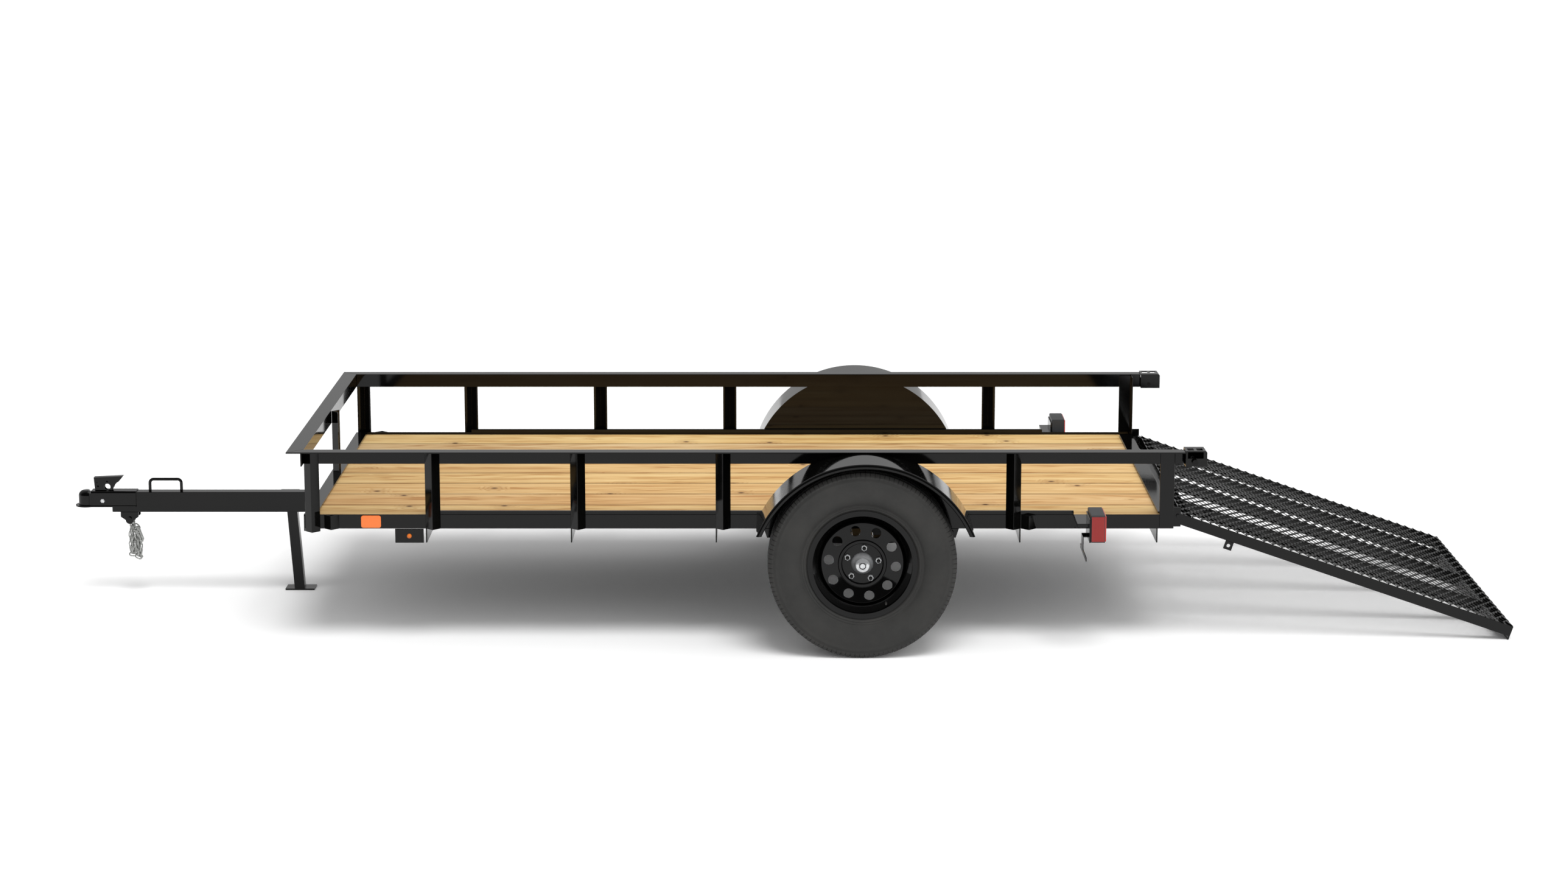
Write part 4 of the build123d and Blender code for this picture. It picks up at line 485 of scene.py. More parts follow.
def end_tree(tree, instances, material):
    """Close a tree: real geometry, one material, out."""
    real = add(tree, "GeometryNodeRealizeInstances", {0: instances})
    painted = add(tree, "GeometryNodeSetMaterial", {"Geometry": real, "Material": material})
    add(tree, "NodeGroupOutput", {0: painted})


def mesh_from(points, faces, name="shape"):
    """A mesh with its normals facing out."""
    mesh = bpy.data.meshes.new(name)
    mesh.from_pydata([tuple(p) for p in points], [], faces)
    build = bmesh.new()
    build.from_mesh(mesh)
    bmesh.ops.recalc_face_normals(build, faces=build.faces)
    build.to_mesh(mesh)
    build.free()
    return mesh


def joined(meshes):
    """One mesh of several."""
    build = bmesh.new()
    for mesh in meshes:
        build.from_mesh(mesh)
    whole = bpy.data.meshes.new("joined")
    build.to_mesh(whole)
    build.free()
    return whole


print("helpers ready")

# %% [markdown]
# The bed has eight planks side by side. The eased edges of one plank are modelled once, and
# the tree lays the planks across the bed. It also gives each plank its own place in the tree
# that it was sawn from, which the pine material reads.

# %% Planks
PLANKS = 8
GAP = 0.0056
PLANK_EASE = 0.0035
EDGE_BAND = 0.025   # a cut this far in keeps the arris's shade out of the plank's middle
PITH_LOW, PITH_HIGH = (1.0, -0.07, 0.05), (30.0, 0.07, 0.16)   # where a plank may lie in its tree


def eased_box(size, ease, rings=2):
    """A box about the origin with rounded edges."""
    build = bmesh.new()
    bmesh.ops.create_cube(build, size=1.0)
    bmesh.ops.scale(build, vec=size, verts=build.verts)
    bmesh.ops.bevel(build, geom=build.edges[:], offset=ease, segments=rings, profile=0.5, affect="EDGES")
    mesh = bpy.data.meshes.new("eased_box")
    build.to_mesh(mesh)
    build.free()
    return mesh


tree, given = new_tree("planks_across_the_bed", [
    ("Count", "Int", PLANKS), ("Pitch", "Float", 0.19), ("Half Width", "Float", 0.09),
    ("Low", "Vector", None), ("Seed", "Int", 3)])
own = add(tree, "GeometryNodeInputPosition")
sideways = add(tree, "ShaderNodeSeparateXYZ", {0: own}).outputs["Y"]
sideways = add(tree, "ShaderNodeMath", {0: sideways}, operation="ABSOLUTE")
beside = add(tree, "ShaderNodeMath", {0: given["Half Width"], 1: sideways}, operation="SUBTRACT")
marked = given["Geometry"]
for name, value, kind in (("grain", own, "FLOAT_VECTOR"), ("across", beside, "FLOAT")):
    marked = add(tree, "GeometryNodeStoreNamedAttribute", {
        "Geometry": marked, "Name": name, "Value": value}, data_type=kind, domain="POINT")
step = add(tree, "ShaderNodeCombineXYZ", {1: given["Pitch"]})
row = add(tree, "GeometryNodeMeshLine", {
    "Count": given["Count"], "Start Location": given["Low"], "Offset": step})
laid = add(tree, "GeometryNodeInstanceOnPoints", {"Points": row, "Instance": marked})
tone = add(tree, "FunctionNodeRandomValue", {"Seed": given["Seed"]}, data_type="FLOAT").outputs[1]
pith = add(tree, "FunctionNodeRandomValue", {
    0: PITH_LOW, 1: PITH_HIGH, "Seed": given["Seed"]}, data_type="FLOAT_VECTOR")
for name, value, kind in (("plank_seed", tone, "FLOAT"), ("pith", pith, "FLOAT_VECTOR")):
    laid = add(tree, "GeometryNodeStoreNamedAttribute", {
        "Geometry": laid, "Name": name, "Value": value}, data_type=kind, domain="INSTANCE")
real = add(tree, "GeometryNodeRealizeInstances", {0: laid})
local, shift = [add(tree, "GeometryNodeInputNamedAttribute", {"Name": name}, data_type="FLOAT_VECTOR")
                for name in ("grain", "pith")]
moved = add(tree, "ShaderNodeVectorMath", {0: local, 1: shift}, operation="ADD")
grained = add(tree, "GeometryNodeStoreNamedAttribute", {
    "Geometry": real, "Name": "grain", "Value": moved}, data_type="FLOAT_VECTOR", domain="POINT")
end_tree(tree, grained, given["Finish"])

deck_low, deck_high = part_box("deck_boards")
plank_width = (deck_high.y - deck_low.y + GAP) / PLANKS - GAP
plank_size = Vector((deck_high.x - deck_low.x, plank_width, deck_high.z - deck_low.z))
plank = eased_box(plank_size, PLANK_EASE)
build = bmesh.new()
build.from_mesh(plank)
for side in (-1, 1):
    cut = [*build.verts, *build.edges, *build.faces]
    place = (0.0, side * (plank_width / 2 - EDGE_BAND), 0.0)
    bmesh.ops.bisect_plane(build, geom=cut, plane_co=place, plane_no=(0.0, 1.0, 0.0))
build.to_mesh(plank)
build.free()
first = Vector(((deck_low.x + deck_high.x) / 2, deck_low.y + plank_width / 2, (deck_low.z + deck_high.z) / 2))
planks = grow(tree, {
    "Count": PLANKS, "Pitch": plank_width + GAP, "Half Width": plank_width / 2, "Low": first, "Seed": 3,
    "Finish": pine}, plank)
show("planks", planks, None, "frame", ["deck_boards"])
print("planks", PLANKS, "of", [round(v, 4) for v in plank_size])

# %% [markdown]
# The ramp's floor is expanded metal: a sheet slit in rows and pulled open, so that each
# strand runs in a zigzag and touches its neighbours at the corners. Every strand is the same
# flat bar, leaned a little on its edge, so one bar on the points of a grid, turned one way
# and then the other, gives the whole sheet.

# %% Expanded metal
ACROSS, ALONG = 40, 74   # strands
STRAND_WIDTH, STRAND_THICKNESS = 0.0070, 0.0019
STRAND_LEAN = math.radians(25)
EDGE = Vector((0.006, 0.006, 0.0))   # the sheet's border, where the strands end

tree, given = new_tree("expanded_metal", [
    ("Across", "Int", ACROSS), ("Along", "Int", ALONG), ("Half Long Way", "Float", 0.038),
    ("Half Short Way", "Float", 0.017), ("Strand Width", "Float", STRAND_WIDTH),
    ("Strand Thickness", "Float", STRAND_THICKNESS), ("Lean", "Float", STRAND_LEAN)])
count = add(tree, "ShaderNodeMath", {0: given["Across"], 1: given["Along"]}, operation="MULTIPLY")
dots = add(tree, "GeometryNodeMeshLine", {"Count": count, "Offset": (0.0, 0.0, 0.0)})
index = add(tree, "GeometryNodeInputIndex")
column = add(tree, "ShaderNodeMath", {0: index, 1: given["Across"]}, operation="FLOORED_MODULO")
row = add(tree, "ShaderNodeMath", {0: index, 1: given["Across"]}, operation="DIVIDE")
row = add(tree, "ShaderNodeMath", {0: row}, operation="FLOOR")
spot = []
for number, pitch in ((row, given["Half Short Way"]), (column, given["Half Long Way"])):
    middle = add(tree, "ShaderNodeMath", {0: number, 1: 0.5}, operation="ADD")
    spot.append(add(tree, "ShaderNodeMath", {0: middle, 1: pitch}, operation="MULTIPLY"))
spot = add(tree, "ShaderNodeCombineXYZ", {0: spot[0], 1: spot[1]})
grid = add(tree, "GeometryNodeSetPosition", {"Geometry": dots, "Position": spot})
turns = add(tree, "ShaderNodeMath", {0: row, 1: column}, operation="ADD")
turns = add(tree, "ShaderNodeMath", {0: turns, 1: 2.0}, operation="FLOORED_MODULO")
way = add(tree, "ShaderNodeMath", {0: turns, 1: 2.0, 2: -1.0}, operation="MULTIPLY_ADD")
slant = add(tree, "ShaderNodeMath", {
    0: given["Half Short Way"], 1: given["Half Long Way"]}, operation="ARCTAN2")
angle = add(tree, "ShaderNodeMath", {0: slant, 1: way}, operation="MULTIPLY")
turn = add(tree, "ShaderNodeCombineXYZ", {1: given["Lean"], 2: angle})
diagonal = add(tree, "ShaderNodeMath", {0: slant}, operation="COSINE")
length = add(tree, "ShaderNodeMath", {0: given["Half Long Way"], 1: diagonal}, operation="DIVIDE")
length = add(tree, "ShaderNodeMath", {0: length, 1: given["Strand Width"]}, operation="ADD")
size = add(tree, "ShaderNodeCombineXYZ", {
    0: given["Strand Width"], 1: length, 2: given["Strand Thickness"]})
bar = add(tree, "GeometryNodeMeshCube", {"Size": size})
strands = add(tree, "GeometryNodeInstanceOnPoints", {"Points": grid, "Instance": bar, "Rotation": turn})
end_tree(tree, strands, given["Finish"])

hinge = Vector(JOINTS["ramp_hinge"]["pos_m"])
ramp_slope = math.radians(JOINTS["ramp_hinge"]["range_deg"][1] - 90.0)
lowered = Matrix.Translation(hinge) @ Matrix.Rotation(ramp_slope, 4, "Y")
flat_frame = [lowered.inverted() @ v.co for v in frame["nodes"]["ramp_mesh"].data.vertices]
mesh_low = Vector([min(v[i] for v in flat_frame) for i in range(3)]) + EDGE
mesh_high = Vector([max(v[i] for v in flat_frame) for i in range(3)]) - EDGE
half_long = (mesh_high.y - mesh_low.y) / ACROSS
half_short = (mesh_high.x - mesh_low.x) / ALONG
strands = grow(tree, {
    "Across": ACROSS, "Along": ALONG, "Half Long Way": half_long, "Half Short Way": half_short,
    "Strand Width": STRAND_WIDTH, "Strand Thickness": STRAND_THICKNESS, "Lean": STRAND_LEAN,
    "Finish": mesh_enamel})
middle = (mesh_low.z + mesh_high.z) / 2
strands.transform(lowered @ Matrix.Translation((mesh_low.x, mesh_low.y, middle)))
show("expanded_metal", strands, None, "ramp", ["ramp_mesh"])
cell_mm = [round(half * 2000, 1) for half in (half_long, half_short)]
print("expanded metal", ACROSS, "by", ALONG, "strands, cells of", cell_mm, "mm")

# %% [markdown]
# Wheels are turned shapes. A profile of radius and offset, spun about the axle, gives a
# tyre's sidewall with its fine rings in one go. The same helper makes the dust caps, the nuts
# and the side lamps. It builds about its own axis, and a matrix takes the shape to its place.

# %% Turning about an axle
ON_AXIS = 1e-6   # a smaller radius than this counts as a point on the axis


def turned(profile, steps, name="turned"):
    """Spin (radius, offset) points about +Z; a closed ring unless the profile meets the axis."""
    points, rows = [], []
    for radius, offset in profile:
        turns = [2 * math.pi * i / steps for i in range(1 if radius < ON_AXIS else steps)]
        rows.append([len(points) + i for i in range(len(turns))])
        points += [(radius * math.cos(turn), radius * math.sin(turn), offset) for turn in turns]
    if profile[0][0] > ON_AXIS and profile[-1][0] > ON_AXIS:
        rows.append(rows[0])
    faces = []
    for near, far in zip(rows, rows[1:]):
        for i in range(steps):
            j = (i + 1) % steps
            corner = [near[i % len(near)], near[j % len(near)], far[j % len(far)], far[i % len(far)]]
            faces.append(tuple(dict.fromkeys(corner)))
    mesh = mesh_from(points, faces, name)
    mesh.shade_smooth()
    return mesh


def facing_out(place, side):
    """The matrix that turns +Z to a side of the trailer and moves a shape to its place."""
    return Matrix.Translation(place) @ Matrix.Rotation(math.radians(-90 * side), 4, "X")


def on_both_sides(shape, x, out, z):
    """The shape on the trailer's left and right, facing out, as one mesh."""
    both = []
    for _, side in SIDES:
        one = shape.copy()
        one.transform(facing_out((x, side * out, z), side))
        both.append(one)
    return joined(both)


WHEELS = {name: facing_out(Vector(JOINTS[f"wheel_{name}_spin"]["pos_m"]), side) for name, side in SIDES}
print("wheels at", [tuple(round(v, 3) for v in m.translation) for m in WHEELS.values()])

# %% [markdown]
# The tyre is a ribbed trailer tyre. The carcass is one turned ring, and the tread is one
# short pitch of blocks repeated round it: three straight ribs with a small zigzag, and a
# shoulder block on each side that reaches down to the sidewall and gives the tyre's edge its
# fine notches.

# %% Tyres
TYRE_RADIUS = JOINTS["wheel_left_spin"]["pos_m"][2]
TREAD_HALF = 0.0825
CROWN_DROP, SHOULDER_DROP, SHOULDER_WIDTH, SHOULDER_CURVE = 0.003, 0.013, 0.012, 1.4
GROOVE, LAP = 0.0065, 0.002   # depth of a groove, and how far a block reaches into the carcass
PITCHES = 120
ZIGZAG = 0.002
RIBS = ((-0.016, 0.016), (0.021, 0.054), (-0.054, -0.021))
# half outlines of a shoulder block's top and side: turn as a share of a pitch, and offset
SHOULDER_TOP = ((0.44, 0.060), (0.44, 0.074), (0.44, 0.0825))
SHOULDER_SIDE = ((0.45, 0.0825), (0.46, 0.0885), (0.47, 0.0935))
# radius and offset down the outer sidewall, from bead to tread, with its moulded rings
OUTER_SIDE = [
    (0.1785, 0.0705), (0.196, 0.0712), (0.1975, 0.0745), (0.2005, 0.0775), (0.2035, 0.0782),
    (0.2045, 0.0768), (0.2065, 0.0772), (0.2095, 0.0806), (0.2115, 0.0812), (0.2125, 0.0800),
    (0.2150, 0.0838), (0.2250, 0.0925), (0.2400, 0.0995), (0.2560, 0.1022), (0.2720, 0.1020),
    (0.2870, 0.1000), (0.2985, 0.0970), (0.3005, 0.0975), (0.3030, 0.0970), (0.3045, 0.0958),
    (0.3110, 0.0935), (0.3160, 0.0905), (0.3205, 0.0835), (0.3235, 0.0700)]
GROOVE_FLOOR = (0.3245, 0.0)
LINER = [(0.1785, -0.0600), (0.2600, -0.0900), (0.3150, -0.0700), (0.3150, 0.0700), (0.2600, 0.0900),
         (0.1785, 0.0600)]

tree, given = new_tree("repeat_round_the_axle", [("Count", "Int", 5), ("First Turn", "Float", 0.0)])
dots = add(tree, "GeometryNodeMeshLine", {"Count": given["Count"], "Offset": (0.0, 0.0, 0.0)})
index = add(tree, "GeometryNodeInputIndex")
share = add(tree, "ShaderNodeMath", {0: index, 1: given["Count"]}, operation="DIVIDE")
angle = add(tree, "ShaderNodeMath", {
    0: share, 1: 2 * math.pi, 2: given["First Turn"]}, operation="MULTIPLY_ADD")
turn = add(tree, "ShaderNodeCombineXYZ", {2: angle})
around = add(tree, "GeometryNodeInstanceOnPoints", {
    "Points": dots, "Instance": given["Geometry"], "Rotation": turn})
end_tree(tree, around, given["Finish"])
round_the_axle = tree


def crown(offset):
    """Tread radius at an offset from the tyre's middle: a gentle bow, then the round shoulder."""
    if abs(offset) <= TREAD_HALF:
        return TYRE_RADIUS - CROWN_DROP * (offset / TREAD_HALF) ** 2
    past = (abs(offset) - TREAD_HALF) / SHOULDER_WIDTH
    return TYRE_RADIUS - CROWN_DROP - SHOULDER_DROP * past ** SHOULDER_CURVE


def tread_block(outline):
    """A block from the crown down into the carcass, from (turn share of a pitch, offset) corners."""
    pitch = 2 * math.pi / PITCHES
    points = []
    for depth in (0.0, GROOVE + LAP):
        for share, offset in outline:
            radius = crown(offset) - depth
            points.append((radius * math.cos(share * pitch), radius * math.sin(share * pitch), offset))
    count = len(outline)
    sides = [(i, (i + 1) % count, count + (i + 1) % count, count + i) for i in range(count)]
    return mesh_from(points, [tuple(range(count)), tuple(range(2 * count - 1, count - 1, -1))] + sides)


def rib(low, high):
    """One pitch of a rib with a zigzag on both edges."""
    middle = (low + high) / 2
    return tread_block([(-0.48, low), (0.0, low + ZIGZAG), (0.48, low), (0.48, middle), (0.48, high),
                        (0.0, high - ZIGZAG), (-0.48, high), (-0.48, middle)])


def shoulder(half, face):
    """A shoulder block on one face of the tyre, from half of its outline."""
    return tread_block([(-half[0][0], face * half[0][1])]
                       + [(share, face * offset) for share, offset in half]
                       + [(-share, face * offset) for share, offset in half[:0:-1]])


ribs = [rib(low, high) for low, high in RIBS]
shoulders = [shoulder(half, face) for face in (-1, 1) for half in (SHOULDER_TOP, SHOULDER_SIDE)]
pitch_of_tread = joined(ribs + shoulders)
tread = grow(round_the_axle, {"Count": PITCHES, "First Turn": 0.0, "Finish": rubber}, pitch_of_tread)

inner_side = [(radius, -offset) for radius, offset in reversed(OUTER_SIDE)]
carcass = turned(OUTER_SIDE + [GROOVE_FLOOR] + inner_side + LINER, 144, "carcass")
for side_name, place in WHEELS.items():
    whole = joined([carcass, tread])
    whole.transform(place)
    show(f"tyre_with_tread_{side_name}", whole, rubber, f"wheel_{side_name}",
         [f"tyre_{side_name}"])
print("tread pitches", PITCHES, "faces", len(tread.polygons))

# %% [markdown]
# Each hub shows a bright dust cap and five hexagon nuts on their studs. A nut is a turned
# shape with six sides and a chamfered face, and the same tree that laid the tread puts five
# of them on the bolt circle.

# %% Hubs, studs and nuts
NUTS = 5
BOLT_CIRCLE = 0.05715   # its radius
BOLT_TURN = math.radians(5.9)
DISC_FACE = 0.046
NUT_RADIUS, NUT_HEIGHT = 0.0110, 0.015
# radius and offset from the hub's back end, over its flange, to the tip of the dust cap
HUB = [
    (0.0174, -0.037), (0.038, -0.037), (0.038, 0.030), (0.070, 0.030), (0.070, 0.042), (0.0275, 0.042),
    (0.0275, 0.055), (0.0262, 0.0565), (0.0262, 0.079), (0.0250, 0.0835), (0.0215, 0.0868),
    (0.0165, 0.0880), (0.0125, 0.0886), (0.0118, 0.0905), (0.0085, 0.0910), (0.0, 0.0910)]

hub_body = turned(HUB, 64, "hub")
bore = turned([(0.0174, -0.037), (0.0174, 0.043), (0.0, 0.043)], 64, "bore")
nut = turned([(0.0, DISC_FACE), (NUT_RADIUS, DISC_FACE), (NUT_RADIUS, DISC_FACE + NUT_HEIGHT - 0.0025),
              (0.0092, DISC_FACE + NUT_HEIGHT), (0.0, DISC_FACE + NUT_HEIGHT)], 6, "nut")
nut.shade_flat()
stud = turned([(0.0, 0.042), (0.0070, 0.042), (0.0070, 0.0640), (0.0060, 0.0655), (0.0, 0.0655)], 20, "stud")
for shape in (nut, stud):
    shape.transform(Matrix.Translation((BOLT_CIRCLE, 0.0, 0.0)))
seal = turned([(0.0088, 0.0885), (0.0118, 0.0885), (0.0118, 0.0912), (0.0088, 0.0912)], 40, "seal")
for side_name, side in SIDES:
    first_turn = side * (BOLT_TURN - math.pi / 2)
    nuts, studs = [
        grow(round_the_axle, {"Count": NUTS, "First Turn": first_turn, "Finish": finish}, shape.copy())
        for shape, finish in ((nut, bright_zinc), (stud, spring_enamel))]
    bright = joined([hub_body, bore, nuts])
    dark = joined([studs, seal])
    for mesh in (bright, dark):
        mesh.transform(WHEELS[side_name])
    show(f"hub_and_nuts_{side_name}", bright, bright_zinc, f"wheel_{side_name}",
         [f"hub_{side_name}"])
    show(f"studs_and_cap_seal_{side_name}", dark, spring_enamel, f"wheel_{side_name}")
print("hub faces", len(hub_body.polygons) + NUTS * len(nut.polygons))

# %% [markdown]
# Rolled angle and folded sheet have no knife edges: their corners are rounded a little, and
# the light catches them as thin lines. Each black node but the fenders is copied, its
# triangles are joined back to flat faces, and its corners are rounded. A bevel modifier on the
# node itself would need the same joining first, so a copy is simpler.

# %% Rounded corners on the steel
SHARP = math.radians(35)
FLAT = math.radians(0.5)    # triangles closer to one plane than this are joined
SAME_PLACE = 1e-5
USUAL_WIDTH = 0.0012
WIDTHS = {"tongue_beam": 0.0023, "corner_posts": 0.0016, "lamp_plates": 0.0008, "licence_bracket": 0.0006}
BODY_OF = {node: body for body, nodes in frame["record"]["behaviour"]["bodies"].items() for node in nodes}


def rounded(node, width, rings):
    """A copy of a CAD node's mesh with its sharp corners rounded and its flat faces shaded flat."""
    build = bmesh.new()
    build.from_mesh(frame["nodes"][node].data)
    bmesh.ops.remove_doubles(build, verts=build.verts[:], dist=SAME_PLACE)
    bmesh.ops.dissolve_limit(build, angle_limit=FLAT, verts=build.verts[:], edges=build.edges[:])
    corners = [edge for edge in build.edges if edge.is_manifold and edge.calc_face_angle() > SHARP]
    bmesh.ops.bevel(build, geom=corners, offset=width, segments=rings, profile=0.5, affect="EDGES",
                    clamp_overlap=True)
    mesh = bpy.data.meshes.new(f"rounded_{node}")
    build.to_mesh(mesh)
    build.free()
    mesh.shade_smooth()
    mesh.set_sharp_from_angle(angle=SHARP)
    return applied(mesh, "flat faces stay flat", "WEIGHTED_NORMAL", keep_sharp=True)


faces = 0
for node, slot in SLOT_OF.items():
    if slot == "black_paint" and not node.startswith("fender"):
        steel = rounded(node, WIDTHS.get(node, USUAL_WIDTH), 2)
        show(f"rounded_{node}", steel, black_enamel, BODY_OF[node], [node])
        faces += len(steel.polygons)
print("rounded steel faces", faces)

# %% [markdown]
# The safety chains hang from the bolt under the tongue, gathered into a bundle and held by
# their own hooks. A chain is links along a line, each turned a quarter against the last. The
# tree walks a line of points at the links' pitch and builds the link itself from a rounded
# rectangle of round wire. A rigid-body simulation could drop the links into place, but a
# line through a bundle that is tied up gives the same shape, and the same one each time.

# %% Safety chains
WIRE = 0.0052
LINK_LENGTH = 0.030
LINK_WIDTH = 0.0185
NEARLY_HALF = 0.499   # at a half, the roundings of a link's end would meet
HOOK_WIRE_RADIUS = 0.0036
FIRST_TURN = 0.6
BOLT_DROP = 0.0248   # below the bracket's top
MM = 0.001
STRAND_OUT_MM, SWAY_MM, SWAY_TURN_PER_MM = 6, 3.5, 0.09
HOOK_OUT_MM, HOOK_FORWARD_MM = 8, 2
RIGHT_STRAND_SHIFT = (0.003, 0.0, 0.004)   # so that the two chains aren't one the mirror of the other
# (x, z) from the bolt down the loops of one chain, and round its hook
STRAND_MM = ((1, -6), (5, -30), (0, -46), (-2, -70), (-2, -130), (3, -141), (9, -132), (10, -60), (16, -50),
             (21, -62), (22, -146), (25, -154), (29, -146), (29, -66), (24, -50), (18, -42))
HOOK_MM = ((18, -40), (24, -38), (30, -44), (44, -84), (42, -91), (36, -89), (24, -54))

tree, given = new_tree("chain_along_a_line", [
    ("Length", "Float", LINK_LENGTH), ("Width", "Float", LINK_WIDTH), ("Wire", "Float", WIRE),
    ("First Turn", "Float", 0.0)])
long_side = add(tree, "ShaderNodeMath", {0: given["Length"], 1: given["Wire"]}, operation="SUBTRACT")
short_side = add(tree, "ShaderNodeMath", {0: given["Width"], 1: given["Wire"]}, operation="SUBTRACT")
bend = add(tree, "ShaderNodeMath", {0: short_side, 1: NEARLY_HALF}, operation="MULTIPLY")
outline = add(tree, "GeometryNodeCurvePrimitiveQuadrilateral", {"Width": long_side, "Height": short_side})
rounding = add(tree, "GeometryNodeFilletCurve", {"Curve": outline, "Count": 2, "Radius": bend}, mode="POLY")
half_wire = add(tree, "ShaderNodeMath", {0: given["Wire"], 1: 0.5}, operation="MULTIPLY")
section = add(tree, "GeometryNodeCurvePrimitiveCircle", {"Resolution": 6, "Radius": half_wire})
link = add(tree, "GeometryNodeCurveToMesh", {"Curve": rounding, "Profile Curve": section})
smooth = add(tree, "GeometryNodeSetShadeSmooth", {"Geometry": link})
pitch = add(tree, "ShaderNodeMath", {
    0: given["Wire"], 1: -2.0, 2: given["Length"]}, operation="MULTIPLY_ADD")
line = add(tree, "GeometryNodeMeshToCurve", {"Mesh": given["Geometry"]})
spots = add(tree, "GeometryNodeCurveToPoints", {"Curve": line, "Length": pitch}, mode="LENGTH")
facing = add(tree, "FunctionNodeAlignRotationToVector", {"Vector": spots.outputs["Tangent"]}, axis="X")
index = add(tree, "GeometryNodeInputIndex")
parity = add(tree, "ShaderNodeMath", {0: index, 1: 2.0}, operation="FLOORED_MODULO")
roll = add(tree, "ShaderNodeMath", {
    0: parity, 1: math.pi / 2, 2: given["First Turn"]}, operation="MULTIPLY_ADD")
roll = add(tree, "ShaderNodeCombineXYZ", {0: roll})
turned_link = add(tree, "FunctionNodeRotateRotation", {0: facing, 1: roll}, rotation_space="LOCAL")
hung = add(tree, "GeometryNodeInstanceOnPoints", {
    "Points": spots, "Instance": smooth, "Rotation": turned_link})
end_tree(tree, hung, given["Finish"])
chain_along_a_line = tree

tree, given = new_tree("wire_along_a_line", [("Radius", "Float", HOOK_WIRE_RADIUS)])
line = add(tree, "GeometryNodeMeshToCurve", {"Mesh": given["Geometry"]})
section = add(tree, "GeometryNodeCurvePrimitiveCircle", {"Resolution": 10, "Radius": given["Radius"]})
swept = add(tree, "GeometryNodeCurveToMesh", {"Curve": line, "Profile Curve": section, "Fill Caps": True})
smooth = add(tree, "GeometryNodeSetShadeSmooth", {"Geometry": swept})
end_tree(tree, smooth, given["Finish"])
wire_along_a_line = tree


def line_mesh(points):
    """A mesh that is one line through the points."""
    mesh = bpy.data.meshes.new("line")
    mesh.from_pydata([tuple(p) for p in points], [(i, i + 1) for i in range(len(points) - 1)], [])
    return mesh


bracket_low, bracket_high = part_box("chain_bracket")
bolt = Vector(((bracket_low.x + bracket_high.x) / 2, 0.0, bracket_high.z - BOLT_DROP))
links = []
for _, side in SIDES:
    aside = Vector(RIGHT_STRAND_SHIFT) * (side > 0)
    strand = []
    for x, z in STRAND_MM:
        out = side * (STRAND_OUT_MM + SWAY_MM * math.sin(SWAY_TURN_PER_MM * z))
        strand.append(bolt + Vector((x, out, z)) * MM + aside)
    links.append(grow(chain_along_a_line, {
        "Length": LINK_LENGTH, "Width": LINK_WIDTH, "Wire": WIRE, "First Turn": FIRST_TURN * side,
        "Finish": galvanised}, line_mesh(strand)))
    hook = [bolt + Vector((x - HOOK_FORWARD_MM * (side > 0), side * HOOK_OUT_MM, z)) * MM for x, z in HOOK_MM]
    links.append(grow(wire_along_a_line, {
        "Radius": HOOK_WIRE_RADIUS, "Finish": galvanised}, line_mesh(hook)))
show("chain_links_and_hooks", joined(links), galvanised, "frame", ["safety_chains"])
print("chain faces", sum(len(mesh.polygons) for mesh in links))

# %% [markdown]
# The tail lamps are boxes of dark plastic with two red lenses: one faces the rear and one the
# side. Both lenses stand a little proud of the housing. The rear one is drawn in a lighter
# red with more glow, as painted light. The side lamp is a small amber dome in a rubber
# ring, and the side reflector is an orange plate with soft edges.

# %% Lamps and reflectors
REFLECTOR_DEPTH, REFLECTOR_CORNER, REFLECTOR_EASE = 0.005, 0.008, 0.001
SIDE_LAMP_DEPTH = 0.014


def eased_between(low, high, ease, rings=2):
    """A box with rounded edges between two corners."""
    mesh = eased_box([abs(b - a) for a, b in zip(low, high)], ease, rings)
    mesh.transform(Matrix.Translation([(a + b) / 2 for a, b in zip(low, high)]))
    return mesh


def round_plate(low, high, corner, ease, steps=6):
    """A plate facing along Y between two corners, with round corners and an eased rim."""
    centres = [(high[0] - corner, high[2] - corner), (low[0] + corner, high[2] - corner),
               (low[0] + corner, low[2] + corner), (high[0] - corner, low[2] + corner)]
    front, back = sorted((low[1], high[1]))
    points = []
    for depth, inset in ((front, ease), (front + ease, 0.0), (back - ease, 0.0), (back, ease)):
        reach = corner - inset
        for quarter, (x, z) in enumerate(centres):
            for step in range(steps):
                angle = math.radians(90 * quarter + 90 / (steps - 1) * step)
                points.append((x + reach * math.cos(angle), depth, z + reach * math.sin(angle)))
    ring = 4 * steps
    faces = [tuple(range(ring)), tuple(range(4 * ring - 1, 3 * ring - 1, -1))]
    for start in (0, ring, 2 * ring):
        for i in range(ring):
            j = (i + 1) % ring
            faces.append((start + i, start + j, start + ring + j, start + ring + i))
    return mesh_from(points, faces, "round_plate")


# a tail lamp's pieces, placed by small distances from the sides of the CAD lamp's box
for side_name, side in SIDES:
    low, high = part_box(f"tail_lamp_{side_name}")
    inner, outer = (high.y, low.y) if side < 0 else (low.y, high.y)
    body = eased_between((low.x, inner, low.z), (high.x - 0.005, outer, high.z), 0.004, 3)
    rim = eased_between((high.x - 0.009, inner, low.z), (high.x - 0.004, outer, high.z), 0.002)
    show(f"tail_lamp_housing_{side_name}", joined([body, rim]), housing, "frame")
    rear = eased_between((high.x - 0.006, inner + side * 0.003, low.z + 0.004),
                         (high.x, outer - side * 0.0005, high.z - 0.003), 0.0025, 3)
    side_lens = eased_between((low.x + 0.0025, outer - side * 0.004, low.z + 0.004),
                              (high.x - 0.0065, outer + side * 0.0006, high.z - 0.005), 0.0006)
    show(f"tail_lamp_side_lens_{side_name}", side_lens, red_acrylic, "frame")
    # the rear lens takes the lighter red, as painted light
    show(f"tail_lamp_rear_lens_{side_name}", rear, rear_red_acrylic_painted_lighter, "frame",
         [f"tail_lamp_{side_name}"])

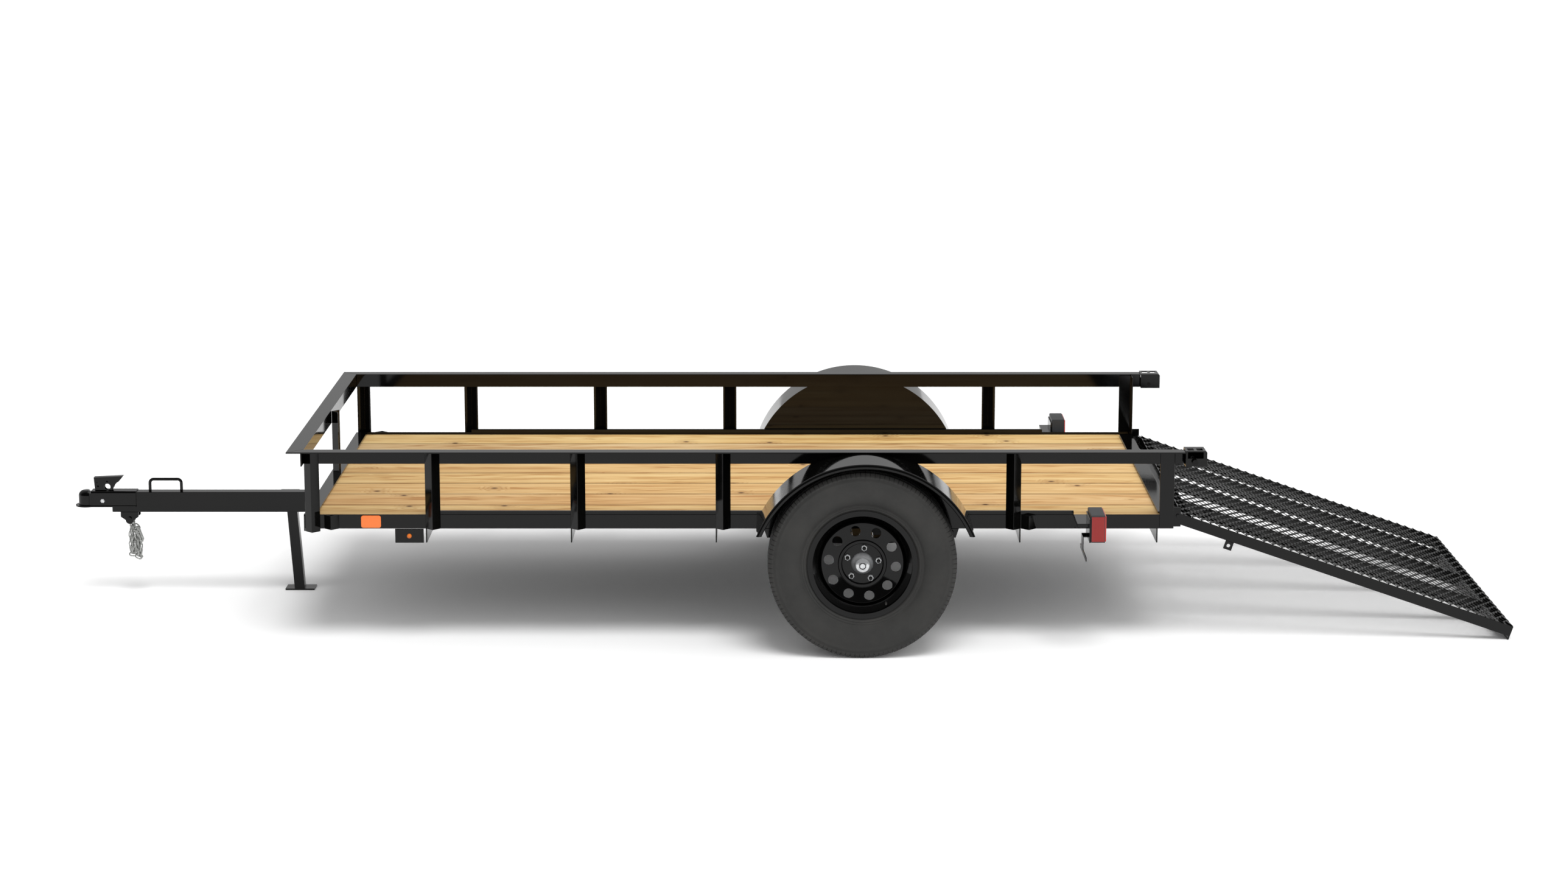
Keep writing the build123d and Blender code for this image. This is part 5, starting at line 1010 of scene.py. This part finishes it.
low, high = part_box("side_reflectors")
reflectors = [
    round_plate((low.x, inner, low.z), (high.x, outer, high.z), REFLECTOR_CORNER, REFLECTOR_EASE)
    for inner, outer in ((low.y + REFLECTOR_DEPTH, low.y), (high.y - REFLECTOR_DEPTH, high.y))]
show("eased_side_reflectors", joined(reflectors), orange_acrylic, "frame",
     ["side_reflectors"])

low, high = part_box("side_lamps")
radius = (high.x - low.x) / 2
dome = turned([(0.0, 0.0005), (radius - 0.001, 0.0005), (radius - 0.001, 0.006), (radius - 0.0022, 0.0105),
               (radius - 0.005, 0.013), (0.0, 0.0138)], 24, "dome")
grommet = turned([(radius - 0.001, 0.0), (radius, 0.0), (radius, 0.0025), (radius - 0.0005, 0.0035),
                  (radius - 0.0012, 0.003)], 24, "grommet")
for name, shape, material, stands_for in (("side_lamp_domes", dome, amber_acrylic, ["side_lamps"]),
                                          ("side_lamp_grommets", grommet, rubber, ())):
    both = on_both_sides(shape, (low.x + high.x) / 2, abs(low.y) - SIDE_LAMP_DEPTH, (low.z + high.z) / 2)
    show(name, both, material, "frame", stands_for)
print("lamps done")

# %% [markdown]
# Small hardware finishes the trailer: the coupler's bolt, with a hexagon head on each side,
# and a valve stem with its cap in each wheel.

# %% Bolts and valve stems
COUPLER_BOLT = {"x": -2.5215, "out": 0.0302, "z": 0.3585}
VALVE_RADIUS = 0.164
VALVE_TURN = math.radians(149.6)

head = turned([(0.0, 0.0), (0.0085, 0.0), (0.0085, 0.0055), (0.0067, 0.007), (0.0, 0.007)], 6, "head")
head.shade_flat()
show("coupler_bolt", on_both_sides(head, **COUPLER_BOLT), bright_zinc, "frame")

stem = turned([(0.0, 0.040), (0.0042, 0.040), (0.0042, 0.052), (0.0032, 0.055), (0.0032, 0.060),
               (0.0, 0.060)], 16, "stem")
cap = turned([(0.0, 0.059), (0.0038, 0.059), (0.0038, 0.066), (0.0028, 0.068), (0.0, 0.068)], 16, "cap")
for side_name, side in SIDES:
    valve = joined([stem, cap])
    spot = (-side * VALVE_RADIUS * math.sin(VALVE_TURN), -side * VALVE_RADIUS * math.cos(VALVE_TURN), 0.0)
    valve.transform(WHEELS[side_name] @ Matrix.Translation(spot))
    show(f"valve_stem_{side_name}", valve, rubber, f"wheel_{side_name}")
print("hardware done")
